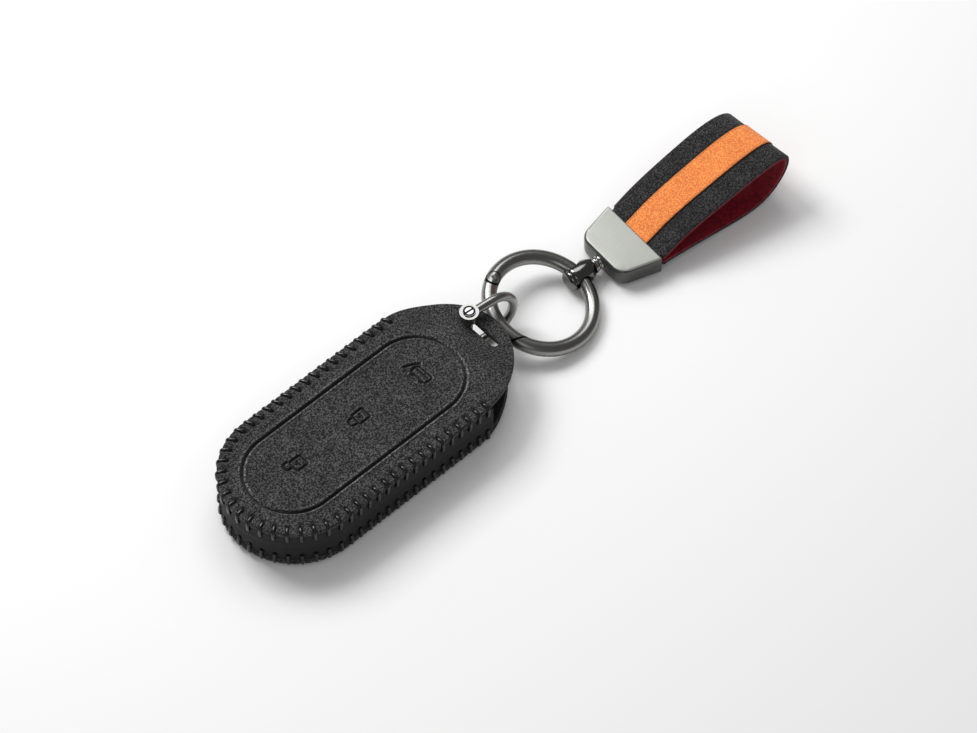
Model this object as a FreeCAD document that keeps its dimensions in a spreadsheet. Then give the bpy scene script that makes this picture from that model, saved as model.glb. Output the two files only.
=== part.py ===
import FreeCAD, Part
import math
import os

import Sketcher

os.makedirs("parts", exist_ok=True)
V = FreeCAD.Vector
doc = FreeCAD.newDocument("key_fob_cover")
sheet = doc.addObject("Spreadsheet::Sheet", "sizes")

# Driving sizes in millimetres and degrees. +X runs along the case to the ring, +Z is up, and the
# origin lies on the back panel's outer face, below the middle of the button line.
SIZES = [
    # outline of the panels: a round butt end, straight sides and an elliptic nose with the flap
    ("case_height", 14.2),
    ("case_width", 41.0),
    ("butt_centre", 21.3),
    ("nose_centre", 25.0),
    ("nose_length", 26.0),
    # leather, lining and the joggle that brings both flaps together at the mouth
    ("leather_thick", 1.3),
    ("lining_thick", 0.6),
    ("bend_start", 31.0),
    ("bend_end", 41.5),
    ("front_drop", 1.6),
    ("back_rise", 3.5),
    ("band_thick", 1.8),
    ("band_inset", 0.4),
    # debossed button line on the front panel
    ("groove_straight", 44.2),
    ("groove_radius", 13.0),
    ("groove_width", 1.0),
    ("groove_depth", 0.5),
    # three debossed signs inside the button line
    ("sign_spacing", 22.0),
    ("sign_shift", 1.3),
    ("sign_side", 0.8),
    ("sign_line", 0.55),
    ("sign_depth", 0.35),
    ("lock_length", 3.2),
    ("lock_width", 4.4),
    ("lock_bow_radius", 1.6),
    ("car_length", 5.8),
    ("car_body", 2.0),
    ("car_cabin", 3.2),
    ("car_roof", 1.7),
    ("car_lid", 2.6),
    ("car_lid_angle", 40.0),
    # slot for the shackle screw through both flaps
    ("slot_centre", 45.4),
    ("slot_length", 12.4),
    ("slot_width", 2.4),
    # whip stitches over both edges of the band
    ("stitch_pitch", 3.25),
    ("stitch_inset", 2.5),
    ("stitch_drop", 2.0),
    ("stitch_slant", 12.0),
    ("thread_diameter", 0.8),
    ("thread_play", 0.1),
    ("thread_bend", 0.75),
    ("thread_sides", 8),
    ("side_stitches", 16),
    ("end_stitches", 17),
    # shackle: slotted screw and horseshoe bow
    ("pin_diameter", 2.0),
    ("pin_play", 0.05),
    ("pin_end_play", 0.1),
    ("head_diameter", 3.5),
    ("head_height", 1.3),
    ("head_proud", 0.4),
    ("driver_width", 0.6),
    ("driver_depth", 0.6),
    ("bow_play", 1.5),
    ("bow_bar", 2.6),
    ("bow_reach", 7.2),
    ("bow_yaw", -6.0),
    ("eye_diameter", 5.3),
    # ring of round bar, leaning on the edge of the back flap, which it laps a little
    ("ring_radius", 14.5),
    ("wire_diameter", 4.2),
    ("ring_lap", 0.2),
    ("ring_y", 0.1),
    ("ring_tilt", 14.5),
    ("ring_tilt_way", -58.0),
    # gate of the ring, its rivet and its spring
    ("rivet_angle", 118.0),
    ("rivet_diameter", 1.4),
    ("rivet_play", 0.05),
    ("gate_span", 85.0),
    ("gate_lead", 14.0),
    ("gate_gap", 0.15),
    ("knuckle_radius", 2.0),
    ("tongue_thick", 1.5),
    ("tongue_play", 0.1),
    ("tongue_reach", 2.2),
    ("latch_web", 1.2),
    ("spring_diameter", 1.0),
    ("spring_length", 3.0),
    ("spring_play", 0.05),
    # swivel: yoke on the ring, stem, washer
    ("yoke_angle", 2.0),
    ("branch_yaw", -4.0),
    ("yoke_back", 3.9),
    ("yoke_front", 5.0),
    ("yoke_diameter", 6.8),
    ("yoke_dome", 5.4),
    ("bore_play", 0.35),
    ("bore_flare", 0.55),
    ("shank_diameter", 2.5),
    ("stem_play", 0.05),
    ("sink_diameter", 4.0),
    ("sink_depth", 0.9),
    ("sink_recess", 0.15),
    ("washer_diameter", 4.6),
    ("washer_thick", 0.5),
    ("collar_diameter", 4.2),
    ("collar_length", 1.2),
    ("neck_diameter", 3.0),
    # clasp that holds the strap ends
    ("clasp_start", 9.4),
    ("clasp_length", 10.8),
    ("clasp_wide", 23.5),
    ("clasp_narrow", 17.5),
    ("clasp_height", 6.2),
    ("clasp_bevel", 0.9),
    ("clasp_corner", 3.2),
    ("socket_depth", 3.0),
    ("mouth_depth", 5.4),
    ("mouth_play", 0.2),
    ("set_screw_diameter", 2.2),
    ("set_screw_spacing", 13.0),
    ("set_screw_play", 0.03),
    ("set_screw_drive", 1.0),
    ("set_screw_drive_depth", 0.6),
    # strap loop: three layers that end in the clasp
    ("strap_width", 21.8),
    ("strap_thick", 1.0),
    ("strap_lining_thick", 0.6),
    ("strap_part", 0.2),
    ("stripe_width", 9.0),
    ("stripe_thick", 0.3),
    ("strap_tail", 4.4),
    ("tail_inset", 0.5),
    ("strap_shoulder", 1.0),
    ("strap_skew", -0.8),
    ("loop_reach", 36.8),
    ("loop_radius", 8.2),
    # every cut runs this far past the face it opens
    ("overrun", 1.0),
]
for row, (alias, number) in enumerate(SIZES, start=1):
    sheet.set("A%d" % row, alias)
    sheet.set("B%d" % row, str(number))
    sheet.setAlias("B%d" % row, alias)
doc.recompute()


def size(formula):
    """The number that a formula of the sheet gives."""
    return float(sheet.evalExpression(formula))


def tie(thing, **formulas):
    """Bind properties of a thing to formulas of the sheet."""
    for name, formula in formulas.items():
        thing.setExpression(name, formula)
    return thing


def put(thing, x="0", y="0", z="0", axis=None, turn="0"):
    """Place a thing at three formulas, turned about an axis by a fourth."""
    if axis is not None:
        thing.Placement = FreeCAD.Placement(V(), FreeCAD.Rotation(axis, size(turn)))
    for name, formula in (("x", x), ("y", y), ("z", z)):
        if formula != "0":
            thing.setExpression("Placement.Base." + name, formula)
    return thing


def box(name, length, width, height, x="0", y="0", z="0"):
    """A block from its low corner."""
    thing = doc.addObject("Part::Box", name)
    return put(tie(thing, Length=length, Width=width, Height=height), x, y, z)


def cylinder(name, radius, height, x="0", y="0", z="0", axis=None, turn="0"):
    """A round bar from the middle of its low end."""
    thing = doc.addObject("Part::Cylinder", name)
    return put(tie(thing, Radius=radius, Height=height), x, y, z, axis, turn)


def fuse(name, *things):
    """One solid from several."""
    thing = doc.addObject("Part::MultiFuse", name)
    thing.Shapes = list(things)
    thing.Refine = True
    return thing


def common(name, *things):
    """What several solids share."""
    thing = doc.addObject("Part::MultiCommon", name)
    thing.Shapes = list(things)
    thing.Refine = True
    return thing


def cut(name, base, tool):
    """A solid less another."""
    thing = doc.addObject("Part::Cut", name)
    thing.Base = base
    thing.Tool = tool
    thing.Refine = True
    return thing


def shaped(name, shape):
    """A document object that holds a shape worked out from the sheet."""
    thing = doc.addObject("Part::Feature", name)
    thing.Shape = shape
    return thing


def sketch_on(body, name, role):
    """An empty sketch on one of the body's own origin planes."""
    sketch = body.newObject("Sketcher::SketchObject", name)
    plane = [item for item in body.Origin.OriginFeatures if item.Role == role][0]
    sketch.AttachmentSupport = [(plane, "")]
    sketch.MapMode = "FlatFace"
    return sketch


def pin_point(sketch, shape, end, x, y):
    """Hold one point of a sketch at two formulas from the sketch's origin."""
    for kind, formula, line in (("DistanceX", x, -2), ("DistanceY", y, -1)):
        if formula == "0":
            sketch.addConstraint(Sketcher.Constraint("PointOnObject", shape, end, line))
        else:
            index = sketch.addConstraint(Sketcher.Constraint(kind, -1, 1, shape, end, size(formula)))
            sketch.setExpression("Constraints[%d]" % index, formula)


def polygon(body, name, role, corners):
    """A closed outline of straight lines whose corners are pairs of formulas."""
    sketch = sketch_on(body, name, role)
    points = [V(size(x), size(y), 0) for x, y in corners]
    for start, end in zip(points, points[1:] + points[:1]):
        sketch.addGeometry(Part.LineSegment(start, end), False)
    for index, (x, y) in enumerate(corners):
        before = (index - 1) % len(corners)
        sketch.addConstraint(Sketcher.Constraint("Coincident", before, 2, index, 1))
        pin_point(sketch, index, 1, x, y)
    return sketch


def slab(name, role, corners, length):
    """A body padded to both sides of a sketched outline."""
    body = doc.addObject("PartDesign::Body", name)
    outline = polygon(body, name + "_outline", role, corners)
    pad = body.newObject("PartDesign::Pad", name + "_pad")
    pad.Profile = outline
    pad.SideType = "Symmetric"
    pad.setExpression("Length", length)
    return body


def stadium(name, straight, radius, height, z, along_y=False):
    """A prism with two round ends, its middle on the Z axis."""
    half = "(%s) / 2" % straight
    across = "2 * (%s)" % radius
    if along_y:
        middle = box(name + "_middle", across, straight, height, "-(%s)" % radius, "-" + half, z)
        ends = [cylinder(name + "_end", radius, height, "0", half, z)]
        ends.append(cylinder(name + "_start", radius, height, "0", "-" + half, z))
    else:
        middle = box(name + "_middle", straight, across, height, "-" + half, "-(%s)" % radius, z)
        ends = [cylinder(name + "_end", radius, height, half, "0", z)]
        ends.append(cylinder(name + "_start", radius, height, "-" + half, "0", z))
    return fuse(name, middle, *ends)


def butt_prism(name, front, width, z, height):
    """A prism with the round butt end and straight sides up to a front plane."""
    radius = "(%s) / 2" % width
    middle = box(name + "_middle", "sizes.butt_centre + %s" % front, width, height,
                 "-sizes.butt_centre", "-" + radius, z)
    butt = cylinder(name + "_butt", radius, height, "-sizes.butt_centre", "0", z)
    return fuse(name, middle, butt)


# Plan outline that both panels and both linings share, taller than the case.
TALL = "sizes.case_height + 2 * sizes.overrun"
LOW = "-sizes.overrun"
straight_part = butt_prism("outline_sides", "sizes.nose_centre", "sizes.case_width", LOW, TALL)
nose_rim = tie(doc.addObject("Part::Ellipse", "outline_nose_rim"),
               MajorRadius="sizes.nose_length", MinorRadius="sizes.case_width / 2")
put(nose_rim, "sizes.nose_centre", "0", LOW)
nose = doc.addObject("Part::Extrusion", "outline_nose")
nose.Base = nose_rim
nose.DirMode = "Custom"
nose.Dir = V(0, 0, 1)
nose.Solid = True
tie(nose, LengthFwd=TALL)
outline = fuse("outline", straight_part, nose)
slot = stadium("slot", "sizes.slot_length - sizes.slot_width", "sizes.slot_width / 2", TALL, "0", True)
put(slot, "sizes.slot_centre", "0", LOW)


def panel(name, face, drop, depth, thick):
    """A joggled sheet: its outer face lies depth inside the case's face, its flap is dropped."""
    down = "-" if face == "front" else "+"
    level = ("sizes.case_height - (%s)" if face == "front" else "(%s)") % depth
    back = "-sizes.butt_centre - sizes.case_width"
    tip = "sizes.nose_centre + sizes.nose_length + sizes.overrun"
    flat = [(back, level), ("sizes.bend_start", level)]
    flap = [("sizes.bend_end", "%s %s %s" % (level, down, drop)), (tip, "%s %s %s" % (level, down, drop))]
    outer = flat + flap
    inner = [(x, "%s %s %s" % (z, down, thick)) for x, z in reversed(outer)]
    band = slab(name + "_band", "XZ_Plane", outer + inner, "sizes.case_width + 2 * sizes.overrun")
    return cut(name + "_slotted", common(name + "_plan", band, outline), slot)


# Stitch places: along one side, round the butt end and back along the other side. Each is the point
# of the hole in the panel and the way over the edge, as an angle from +X.
def stitch_places():
    radius = size("sizes.case_width / 2 - sizes.stitch_inset")
    centre = size("sizes.butt_centre")
    pitch = size("sizes.stitch_pitch")
    side = int(size("sizes.side_stitches"))
    end = int(size("sizes.end_stitches"))
    run = [(index + 1 / 2) * pitch - centre for index in range(side)]
    places = [(x, radius, 90) for x in reversed(run)]
    for index in range(end):
        angle = 90 + 180 * (index + 1 / 2) / end
        turned = math.radians(angle)
        places.append((radius * math.cos(turned) - centre, radius * math.sin(turned), angle))
    return places + [(x, -radius, 270) for x in run]


def at_stitches(shape):
    """Copies of a shape drawn along +X from a hole, set at every stitch."""
    slant = size("sizes.stitch_slant")
    copies = []
    for x, y, angle in stitch_places():
        turned = FreeCAD.Rotation(V(0, 0, 1), angle + slant)
        moved = shape.copy()
        moved.Placement = FreeCAD.Placement(V(x, y, 0), turned).multiply(shape.Placement)
        copies.append(moved)
    return copies


def upside_down(shape):
    """A shape mirrored about the middle height of the case."""
    return shape.mirror(V(0, 0, size("sizes.case_height / 2")), V(0, 0, 1))


# One stitch runs up through the panel, out over its edge, down the band and in through the band.
stitch_top = size("sizes.case_height + sizes.thread_diameter / 2 + sizes.thread_play")
stitch_foot = size("sizes.case_height - sizes.leather_thick")
stitch_out = size("(sizes.stitch_inset + sizes.thread_diameter / 2 + sizes.thread_play)"
                  " / cos(sizes.stitch_slant)")
stitch_low = size("sizes.case_height - sizes.leather_thick - sizes.lining_thick - sizes.stitch_drop")
stitch_in = size("(sizes.stitch_inset - sizes.band_inset - sizes.band_thick)"
                 " / cos(sizes.stitch_slant)")
bend = size("sizes.thread_bend")
thread_radius = size("sizes.thread_diameter / 2")
runs = [
    (V(0, 0, stitch_foot), V(0, 0, stitch_top - bend - stitch_foot)),
    (V(bend, 0, stitch_top), V(stitch_out - 2 * bend, 0, 0)),
    (V(stitch_out, 0, stitch_top - bend), V(0, 0, stitch_low + 2 * bend - stitch_top)),
    (V(stitch_out - bend, 0, stitch_low), V(stitch_in + bend - stitch_out, 0, 0)),
]
turns = [V(bend, 0, stitch_top - bend), V(stitch_out - bend, 0, stitch_top - bend)]
turns.append(V(stitch_out - bend, 0, stitch_low + bend))


def thread_section(point, way):
    """The thread's section at a point, square to a way: a polygon of equal sides."""
    sides = int(size("sizes.thread_sides"))
    across = V(0, 1, 0)
    up = V(way).normalize().cross(across)
    corners = []
    for index in range(sides):
        angle = 2 * math.pi * (index + 1 / 2) / sides
        corner = across * (thread_radius * math.cos(angle)) + up * (thread_radius * math.sin(angle))
        corners.append(point.add(corner))
    return Part.Face(Part.makePolygon(corners + corners[:1]))


lengths = [thread_section(start, way).extrude(way) for start, way in runs]
for (start, way), centre in zip(runs, turns):
    lengths.append(thread_section(start.add(way), way).revolve(centre, V(0, 1, 0), 90))
stitch = lengths[0].multiFuse(lengths[1:]).removeSplitter()
hole_radius = thread_radius + size("sizes.thread_play")
overrun = size("sizes.overrun")
panel_hole = Part.makeCylinder(hole_radius, stitch_top - stitch_foot + overrun,
                               V(0, 0, stitch_foot - overrun / 2))
band_hole = Part.makeCylinder(hole_radius, stitch_out - stitch_in + overrun,
                              V(stitch_in - overrun, 0, stitch_low), V(1, 0, 0))
front_thread = shaped("front_thread", Part.makeCompound(at_stitches(stitch)))
back_thread = shaped("back_thread", Part.makeCompound(at_stitches(upside_down(stitch))))
front_holes = shaped("front_holes", Part.makeCompound(at_stitches(panel_hole)))
back_holes = shaped("back_holes", Part.makeCompound(at_stitches(upside_down(panel_hole))))
band_rows = at_stitches(band_hole) + at_stitches(upside_down(band_hole))
band_holes = shaped("band_holes", Part.makeCompound(band_rows))

# Debossed line round the buttons.
GROOVE_FLOOR = "sizes.case_height - sizes.groove_depth"
DEPTH = "sizes.groove_depth + sizes.overrun"
groove_outer = stadium("groove_outer", "sizes.groove_straight",
                       "sizes.groove_radius + sizes.groove_width / 2", DEPTH, GROOVE_FLOOR)
groove_inner = stadium("groove_inner", "sizes.groove_straight",
                       "sizes.groove_radius - sizes.groove_width / 2", DEPTH, GROOVE_FLOOR)
groove = cut("groove", groove_outer, groove_inner)

# Debossed signs: an open lock, a shut lock and a car with its lid up, all turned to the butt end.
SIGN_FLOOR = "sizes.case_height - sizes.sign_depth"
SIGN_TALL = "sizes.sign_depth + sizes.overrun"


def frame(name, length, width, x, y):
    """A rectangle drawn with the sign's line, from its low corner."""
    outer = box(name + "_outer", length, width, SIGN_TALL, x, y, SIGN_FLOOR)
    inner = box(name + "_inner", "%s - 2 * sizes.sign_line" % length,
                "%s - 2 * sizes.sign_line" % width, SIGN_TALL,
                "%s + sizes.sign_line" % x, "%s + sizes.sign_line" % y, SIGN_FLOOR)
    return cut(name, outer, inner)


def lock(name, x, shift):
    """A lock: a framed body and half a ring on its butt side, moved sideways where it is open."""
    body = frame(name + "_body", "sizes.lock_length", "sizes.lock_width", x,
                 "sizes.sign_side - sizes.lock_width / 2")
    hoop = cylinder(name + "_hoop", "sizes.lock_bow_radius", SIGN_TALL, x, shift, SIGN_FLOOR)
    eye = cylinder(name + "_eye", "sizes.lock_bow_radius - sizes.sign_line", SIGN_TALL, x, shift,
                   SIGN_FLOOR)
    half = box(name + "_half", "sizes.lock_bow_radius", "2 * sizes.lock_bow_radius", SIGN_TALL,
               "%s - sizes.lock_bow_radius" % x, "%s - sizes.lock_bow_radius" % shift, SIGN_FLOOR)
    return fuse(name, body, common(name + "_bow", cut(name + "_ring", hoop, eye), half))


open_lock = lock("open_lock", "sizes.sign_shift - sizes.sign_spacing",
                 "sizes.sign_side + 2 * sizes.lock_bow_radius - sizes.sign_line")
shut_lock = lock("shut_lock", "sizes.sign_shift", "sizes.sign_side")
CAR_X = "sizes.sign_shift + sizes.sign_spacing"
CAR_LOW = "sizes.sign_side - sizes.car_length / 2"
car_body = frame("car_body", "sizes.car_body", "sizes.car_length", CAR_X, CAR_LOW)
car_cabin = frame("car_cabin", "sizes.car_roof + sizes.sign_line", "sizes.car_cabin",
                  "%s - sizes.car_roof" % CAR_X, "sizes.sign_side - sizes.car_cabin / 2")
car_lid = box("car_lid", "sizes.sign_line", "sizes.car_lid", SIGN_TALL)
put(car_lid, CAR_X + " + sizes.sign_line / 2", CAR_LOW + " + sizes.sign_line / 2", SIGN_FLOOR,
    V(0, 0, 1), "90 + sizes.car_lid_angle")
signs = fuse("signs", open_lock, shut_lock, car_body, car_cabin, car_lid)

# Four sheets of the case.
front_blank = panel("front_panel_blank", "front", "sizes.front_drop", "0 * sizes.leather_thick",
                    "sizes.leather_thick")
front_grooved = cut("front_grooved", front_blank, groove)
front_panel = cut("front_panel", cut("front_marked", front_grooved, signs), front_holes)
back_blank = panel("back_panel_blank", "back", "sizes.back_rise", "0 * sizes.leather_thick",
                   "sizes.leather_thick")
back_panel = cut("back_panel", back_blank, back_holes)
front_lining = panel("front_lining", "front", "sizes.front_drop", "sizes.leather_thick",
                     "sizes.lining_thick")
back_lining = panel("back_lining", "back", "sizes.back_rise", "sizes.leather_thick",
                    "sizes.lining_thick")

# Band between the linings, open at the mouth.
SHELL = "sizes.leather_thick + sizes.lining_thick"
BAND_TALL = "sizes.case_height - 2 * (%s)" % SHELL
band_outer = butt_prism("band_outer", "sizes.bend_start", "sizes.case_width - 2 * sizes.band_inset",
                        SHELL, BAND_TALL)
band_inner = butt_prism("band_inner", "sizes.bend_start + sizes.overrun",
                        "sizes.case_width - 2 * sizes.band_inset - 2 * sizes.band_thick", SHELL, BAND_TALL)
side_band = cut("side_band", cut("band_shell", band_outer, band_inner), band_holes)

# Shackle, drawn about the middle of its screw with the crown on +X.
BOW_GAP = "(sizes.case_height - sizes.front_drop + sizes.thread_diameter + sizes.thread_play"
BOW_GAP += " + sizes.bow_play - sizes.bow_bar)"
ARM = "(%s + sizes.bow_bar) / 2" % BOW_GAP
EYE_TOP = "%s / 2 + sizes.bow_bar" % BOW_GAP
bow_body = doc.addObject("PartDesign::Body", "bow_bar_body")
bow_path = sketch_on(bow_body, "bow_path", "XZ_Plane")
arm = size(ARM)
reach = size("sizes.bow_reach")
bow_path.addGeometry(Part.LineSegment(V(0, arm, 0), V(reach, arm, 0)), False)
crown = Part.Circle(V(reach, 0, 0), V(0, 0, 1), arm)
bow_path.addGeometry(Part.ArcOfCircle(crown, -math.pi / 2, math.pi / 2), False)
bow_path.addGeometry(Part.LineSegment(V(reach, -arm, 0), V(0, -arm, 0)), False)
bow_path.addConstraint(Sketcher.Constraint("Tangent", 0, 2, 1, 2))
bow_path.addConstraint(Sketcher.Constraint("Tangent", 2, 1, 1, 1))
bow_path.addConstraint(Sketcher.Constraint("Horizontal", 0))
bow_path.addConstraint(Sketcher.Constraint("Horizontal", 2))
bow_path.addConstraint(Sketcher.Constraint("PointOnObject", 0, 1, -2))
bow_path.addConstraint(Sketcher.Constraint("PointOnObject", 2, 2, -2))
pin_point(bow_path, 1, 3, "sizes.bow_reach", "0")
index = bow_path.addConstraint(Sketcher.Constraint("Radius", 1, arm))
bow_path.setExpression("Constraints[%d]" % index, ARM)
bow_round = sketch_on(bow_body, "bow_round", "YZ_Plane")
bow_round.addGeometry(Part.Circle(V(0, arm, 0), V(0, 0, 1), size("sizes.bow_bar / 2")), False)
pin_point(bow_round, 0, 3, "0", ARM)
index = bow_round.addConstraint(Sketcher.Constraint("Diameter", 0, size("sizes.bow_bar")))
bow_round.setExpression("Constraints[%d]" % index, "sizes.bow_bar")
bow_pipe = bow_body.newObject("PartDesign::AdditivePipe", "bow_pipe")
bow_pipe.Profile = bow_round
bow_pipe.Spine = bow_path
top_eye = cylinder("top_eye", "sizes.eye_diameter / 2", "sizes.bow_bar", "0", "0", BOW_GAP + " / 2")
low_eye = cylinder("low_eye", "sizes.eye_diameter / 2", "sizes.bow_bar", "0", "0", "-(%s)" % EYE_TOP)
bow_solid = fuse("bow_solid", bow_body, top_eye, low_eye)
PIN_RADIUS = "sizes.pin_diameter / 2"
pin_bore = cylinder("pin_bore", PIN_RADIUS + " + sizes.pin_play", "2 * (%s) + 2 * sizes.overrun" % EYE_TOP,
                    "0", "0", "-(%s) - sizes.overrun" % EYE_TOP)
head_bore = cylinder("head_bore", "sizes.head_diameter / 2 + sizes.pin_play",
                     "sizes.head_height + sizes.overrun", "0", "0",
                     EYE_TOP + " + sizes.head_proud - sizes.head_height - sizes.pin_play")
shackle_bow = cut("shackle_bow", bow_solid, fuse("bow_bores", pin_bore, head_bore))
HEAD_TOP = EYE_TOP + " + sizes.head_proud"
head = cylinder("screw_head", "sizes.head_diameter / 2", "sizes.head_height", "0", "0",
                HEAD_TOP + " - sizes.head_height")
shank = cylinder("screw_shank", PIN_RADIUS, "2 * (%s) - sizes.head_height / 2 + sizes.head_proud" % EYE_TOP,
                 "0", "0", "-(%s)" % EYE_TOP)
driver = box("screw_driver_slot", "sizes.head_diameter + 2 * sizes.overrun", "sizes.driver_width",
             "sizes.driver_depth + sizes.overrun", "-sizes.head_diameter / 2 - sizes.overrun",
             "-sizes.driver_width / 2", HEAD_TOP + " - sizes.driver_depth")
shackle_screw = cut("shackle_screw", fuse("screw_solid", head, shank), driver)

# Ring, drawn flat about its own centre. The gate turns about the rivet, and the latch faces are
# rounds about the rivet too, so that the gate swings inwards freely.
WIRE = "sizes.wire_diameter / 2"
RIVET_X = "sizes.ring_radius * cos(sizes.rivet_angle)"
RIVET_Y = "sizes.ring_radius * sin(sizes.rivet_angle)"
LATCH = "2 * sizes.ring_radius * sin(sizes.gate_span / 2)"
FULL = "sizes.wire_diameter + 2 * sizes.overrun"
FULL_LOW = "-sizes.wire_diameter / 2 - sizes.overrun"
TONGUE_LOW = "-sizes.tongue_thick / 2"
NOTCH = "sizes.tongue_thick + 2 * sizes.tongue_play"
NOTCH_LOW = "-sizes.tongue_thick / 2 - sizes.tongue_play"
WEB = "sizes.ring_radius + %s - sizes.latch_web" % WIRE
LATCH_START = "sizes.rivet_angle + sizes.gate_span - sizes.gate_lead"


def bar(name, start, sweep):
    """A length of the ring's round bar between two angles."""
    thing = tie(doc.addObject("Part::Torus", name), Radius1="sizes.ring_radius", Radius2=WIRE, Angle3=sweep)
    return put(thing, axis=V(0, 0, 1), turn=start)


def about_rivet(name, radius, height=FULL, low=FULL_LOW):
    """A round block about the rivet's axis."""
    return cylinder(name, radius, height, RIVET_X, RIVET_Y, low)


def latch_sector(name, radius, height, low):
    """A flat sector of the ring's inside at the latch."""
    thing = cylinder(name, radius, height, "0", "0", low, V(0, 0, 1), LATCH_START)
    return tie(thing, Angle="3 * sizes.gate_lead")


main_bar = bar("ring_main", "sizes.rivet_angle + sizes.gate_span + sizes.gate_lead",
               "360 - sizes.gate_span - sizes.gate_lead")
latch_bar = bar("ring_latch", LATCH_START, "2 * sizes.gate_lead")
latch_end = cut("ring_latch_end", latch_bar, about_rivet("ring_latch_face", LATCH + " + sizes.gate_gap"))
knuckle = common("ring_knuckle", bar("ring_knuckle_bar", "sizes.rivet_angle", "sizes.gate_lead"),
                 about_rivet("ring_knuckle_round", "sizes.knuckle_radius"))
ring_solid = fuse("ring_solid", main_bar, latch_end, knuckle)
fork = about_rivet("ring_fork", "sizes.knuckle_radius + sizes.gate_gap", NOTCH, NOTCH_LOW)
rivet_hole = about_rivet("ring_rivet_hole", "sizes.rivet_diameter / 2")
notch_round = about_rivet("ring_notch_round", LATCH + " + sizes.tongue_reach + sizes.gate_gap",
                          NOTCH, NOTCH_LOW)
notch_sector = latch_sector("ring_notch_sector", WEB + " + sizes.tongue_play", NOTCH, NOTCH_LOW)
latch_notch = common("ring_latch_notch", notch_round, notch_sector)
SPRING_TURN = "sizes.rivet_angle - 90"
spring_axis = FreeCAD.Rotation(V(0, 0, 1), size(SPRING_TURN))


def along_tangent(name, radius, start, length):
    """A round bar along the tangent at the rivet, from a distance behind it."""
    thing = tie(doc.addObject("Part::Cylinder", name), Radius=radius, Height=length)
    base = spring_axis.multVec(V(size(start), 0, 0))
    turned = spring_axis.multiply(FreeCAD.Rotation(V(0, 1, 0), 90))
    thing.Placement = FreeCAD.Placement(V(size(RIVET_X), size(RIVET_Y), 0).add(base), turned)
    return thing


SPRING_RADIUS = "sizes.spring_diameter / 2"
SPRING_START = "sizes.knuckle_radius + sizes.gate_gap / 2"
spring_bore = along_tangent("spring_bore", SPRING_RADIUS + " + sizes.spring_play", SPRING_START,
                            "sizes.spring_length + sizes.spring_play")
ring_body = cut("ring_body", ring_solid, fuse("ring_cuts", fork, rivet_hole, latch_notch, spring_bore))
gate_spring = along_tangent("gate_spring", SPRING_RADIUS, SPRING_START, "sizes.spring_length")
gate_rivet = cylinder("gate_rivet", "sizes.rivet_diameter / 2", "sizes.wire_diameter", RIVET_X, RIVET_Y,
                      "-sizes.wire_diameter / 2")
gate_bar = bar("gate_bar", "sizes.rivet_angle", "sizes.gate_span + sizes.gate_lead")
gate_long = common("gate_long", gate_bar, about_rivet("gate_latch_face", LATCH))
gate_tube = cut("gate_tube", gate_long, about_rivet("gate_heel", "sizes.knuckle_radius + sizes.gate_gap"))
gate_disc = about_rivet("gate_disc", "sizes.knuckle_radius - sizes.tongue_play", "sizes.tongue_thick",
                        TONGUE_LOW)
heel_plate = cylinder("gate_heel_plate", "sizes.ring_radius + sizes.wire_diameter", "sizes.tongue_thick",
                      "0", "0", TONGUE_LOW)
heel_bar = bar("gate_bridge_bar", "sizes.rivet_angle", "sizes.gate_lead")
gate_bridge = common("gate_bridge", heel_bar, heel_plate)
gate_tongue = common("gate_tongue", bar("gate_tongue_bar", LATCH_START, "2 * sizes.gate_lead"),
                     latch_sector("gate_tongue_sector", WEB, "sizes.tongue_thick", TONGUE_LOW),
                     about_rivet("gate_tongue_round", LATCH + " + sizes.tongue_reach"))
gate_solid = fuse("gate_solid", gate_tube, gate_disc, gate_bridge, gate_tongue)
ring_gate = cut("ring_gate", gate_solid,
                about_rivet("gate_rivet_hole", "sizes.rivet_diameter / 2 + sizes.rivet_play"))

# Swivel, drawn about the middle of the ring's bar with the strap on +X.
yoke_barrel = cylinder("yoke_barrel", "sizes.yoke_diameter / 2", "sizes.yoke_back + sizes.yoke_front",
                       "-sizes.yoke_back", axis=V(0, 1, 0), turn="90")
yoke_ball = tie(doc.addObject("Part::Sphere", "yoke_ball"), Radius="sizes.yoke_dome")
yoke_body = common("yoke_body", yoke_barrel, yoke_ball)
WAIST = WIRE + " + sizes.bore_play"
FLARE = WAIST + " + sizes.bore_flare"
FLARE_END = WAIST + " + sizes.bore_flare * (1 + 2 * sizes.overrun / sizes.yoke_diameter)"
bores = []
for name, turn in (("left", "-90"), ("right", "90")):
    cone = tie(doc.addObject("Part::Cone", "bore_" + name), Radius1=WAIST, Radius2=FLARE_END,
               Height="sizes.yoke_diameter / 2 + sizes.overrun")
    bores.append(put(cone, axis=V(1, 0, 0), turn=turn))
ALONG = V(0, 1, 0)
SINK_START = FLARE + " + sizes.sink_recess"
sink = tie(doc.addObject("Part::Cone", "yoke_sink"), Radius1="sizes.sink_diameter / 2 + sizes.stem_play",
           Radius2="sizes.shank_diameter / 2 + sizes.stem_play", Height="sizes.sink_depth")
put(sink, SINK_START + " + sizes.stem_play", axis=ALONG, turn="90")
sink_mouth = cylinder("yoke_sink_mouth", "sizes.sink_diameter / 2 + sizes.stem_play",
                      SINK_START + " + sizes.stem_play", axis=ALONG, turn="90")
shank_bore = cylinder("yoke_shank_bore", "sizes.shank_diameter / 2 + sizes.stem_play",
                      "sizes.yoke_front + sizes.overrun", axis=ALONG, turn="90")
swivel_yoke = cut("swivel_yoke", yoke_body, fuse("yoke_bores", *bores, sink, sink_mouth, shank_bore))

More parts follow.
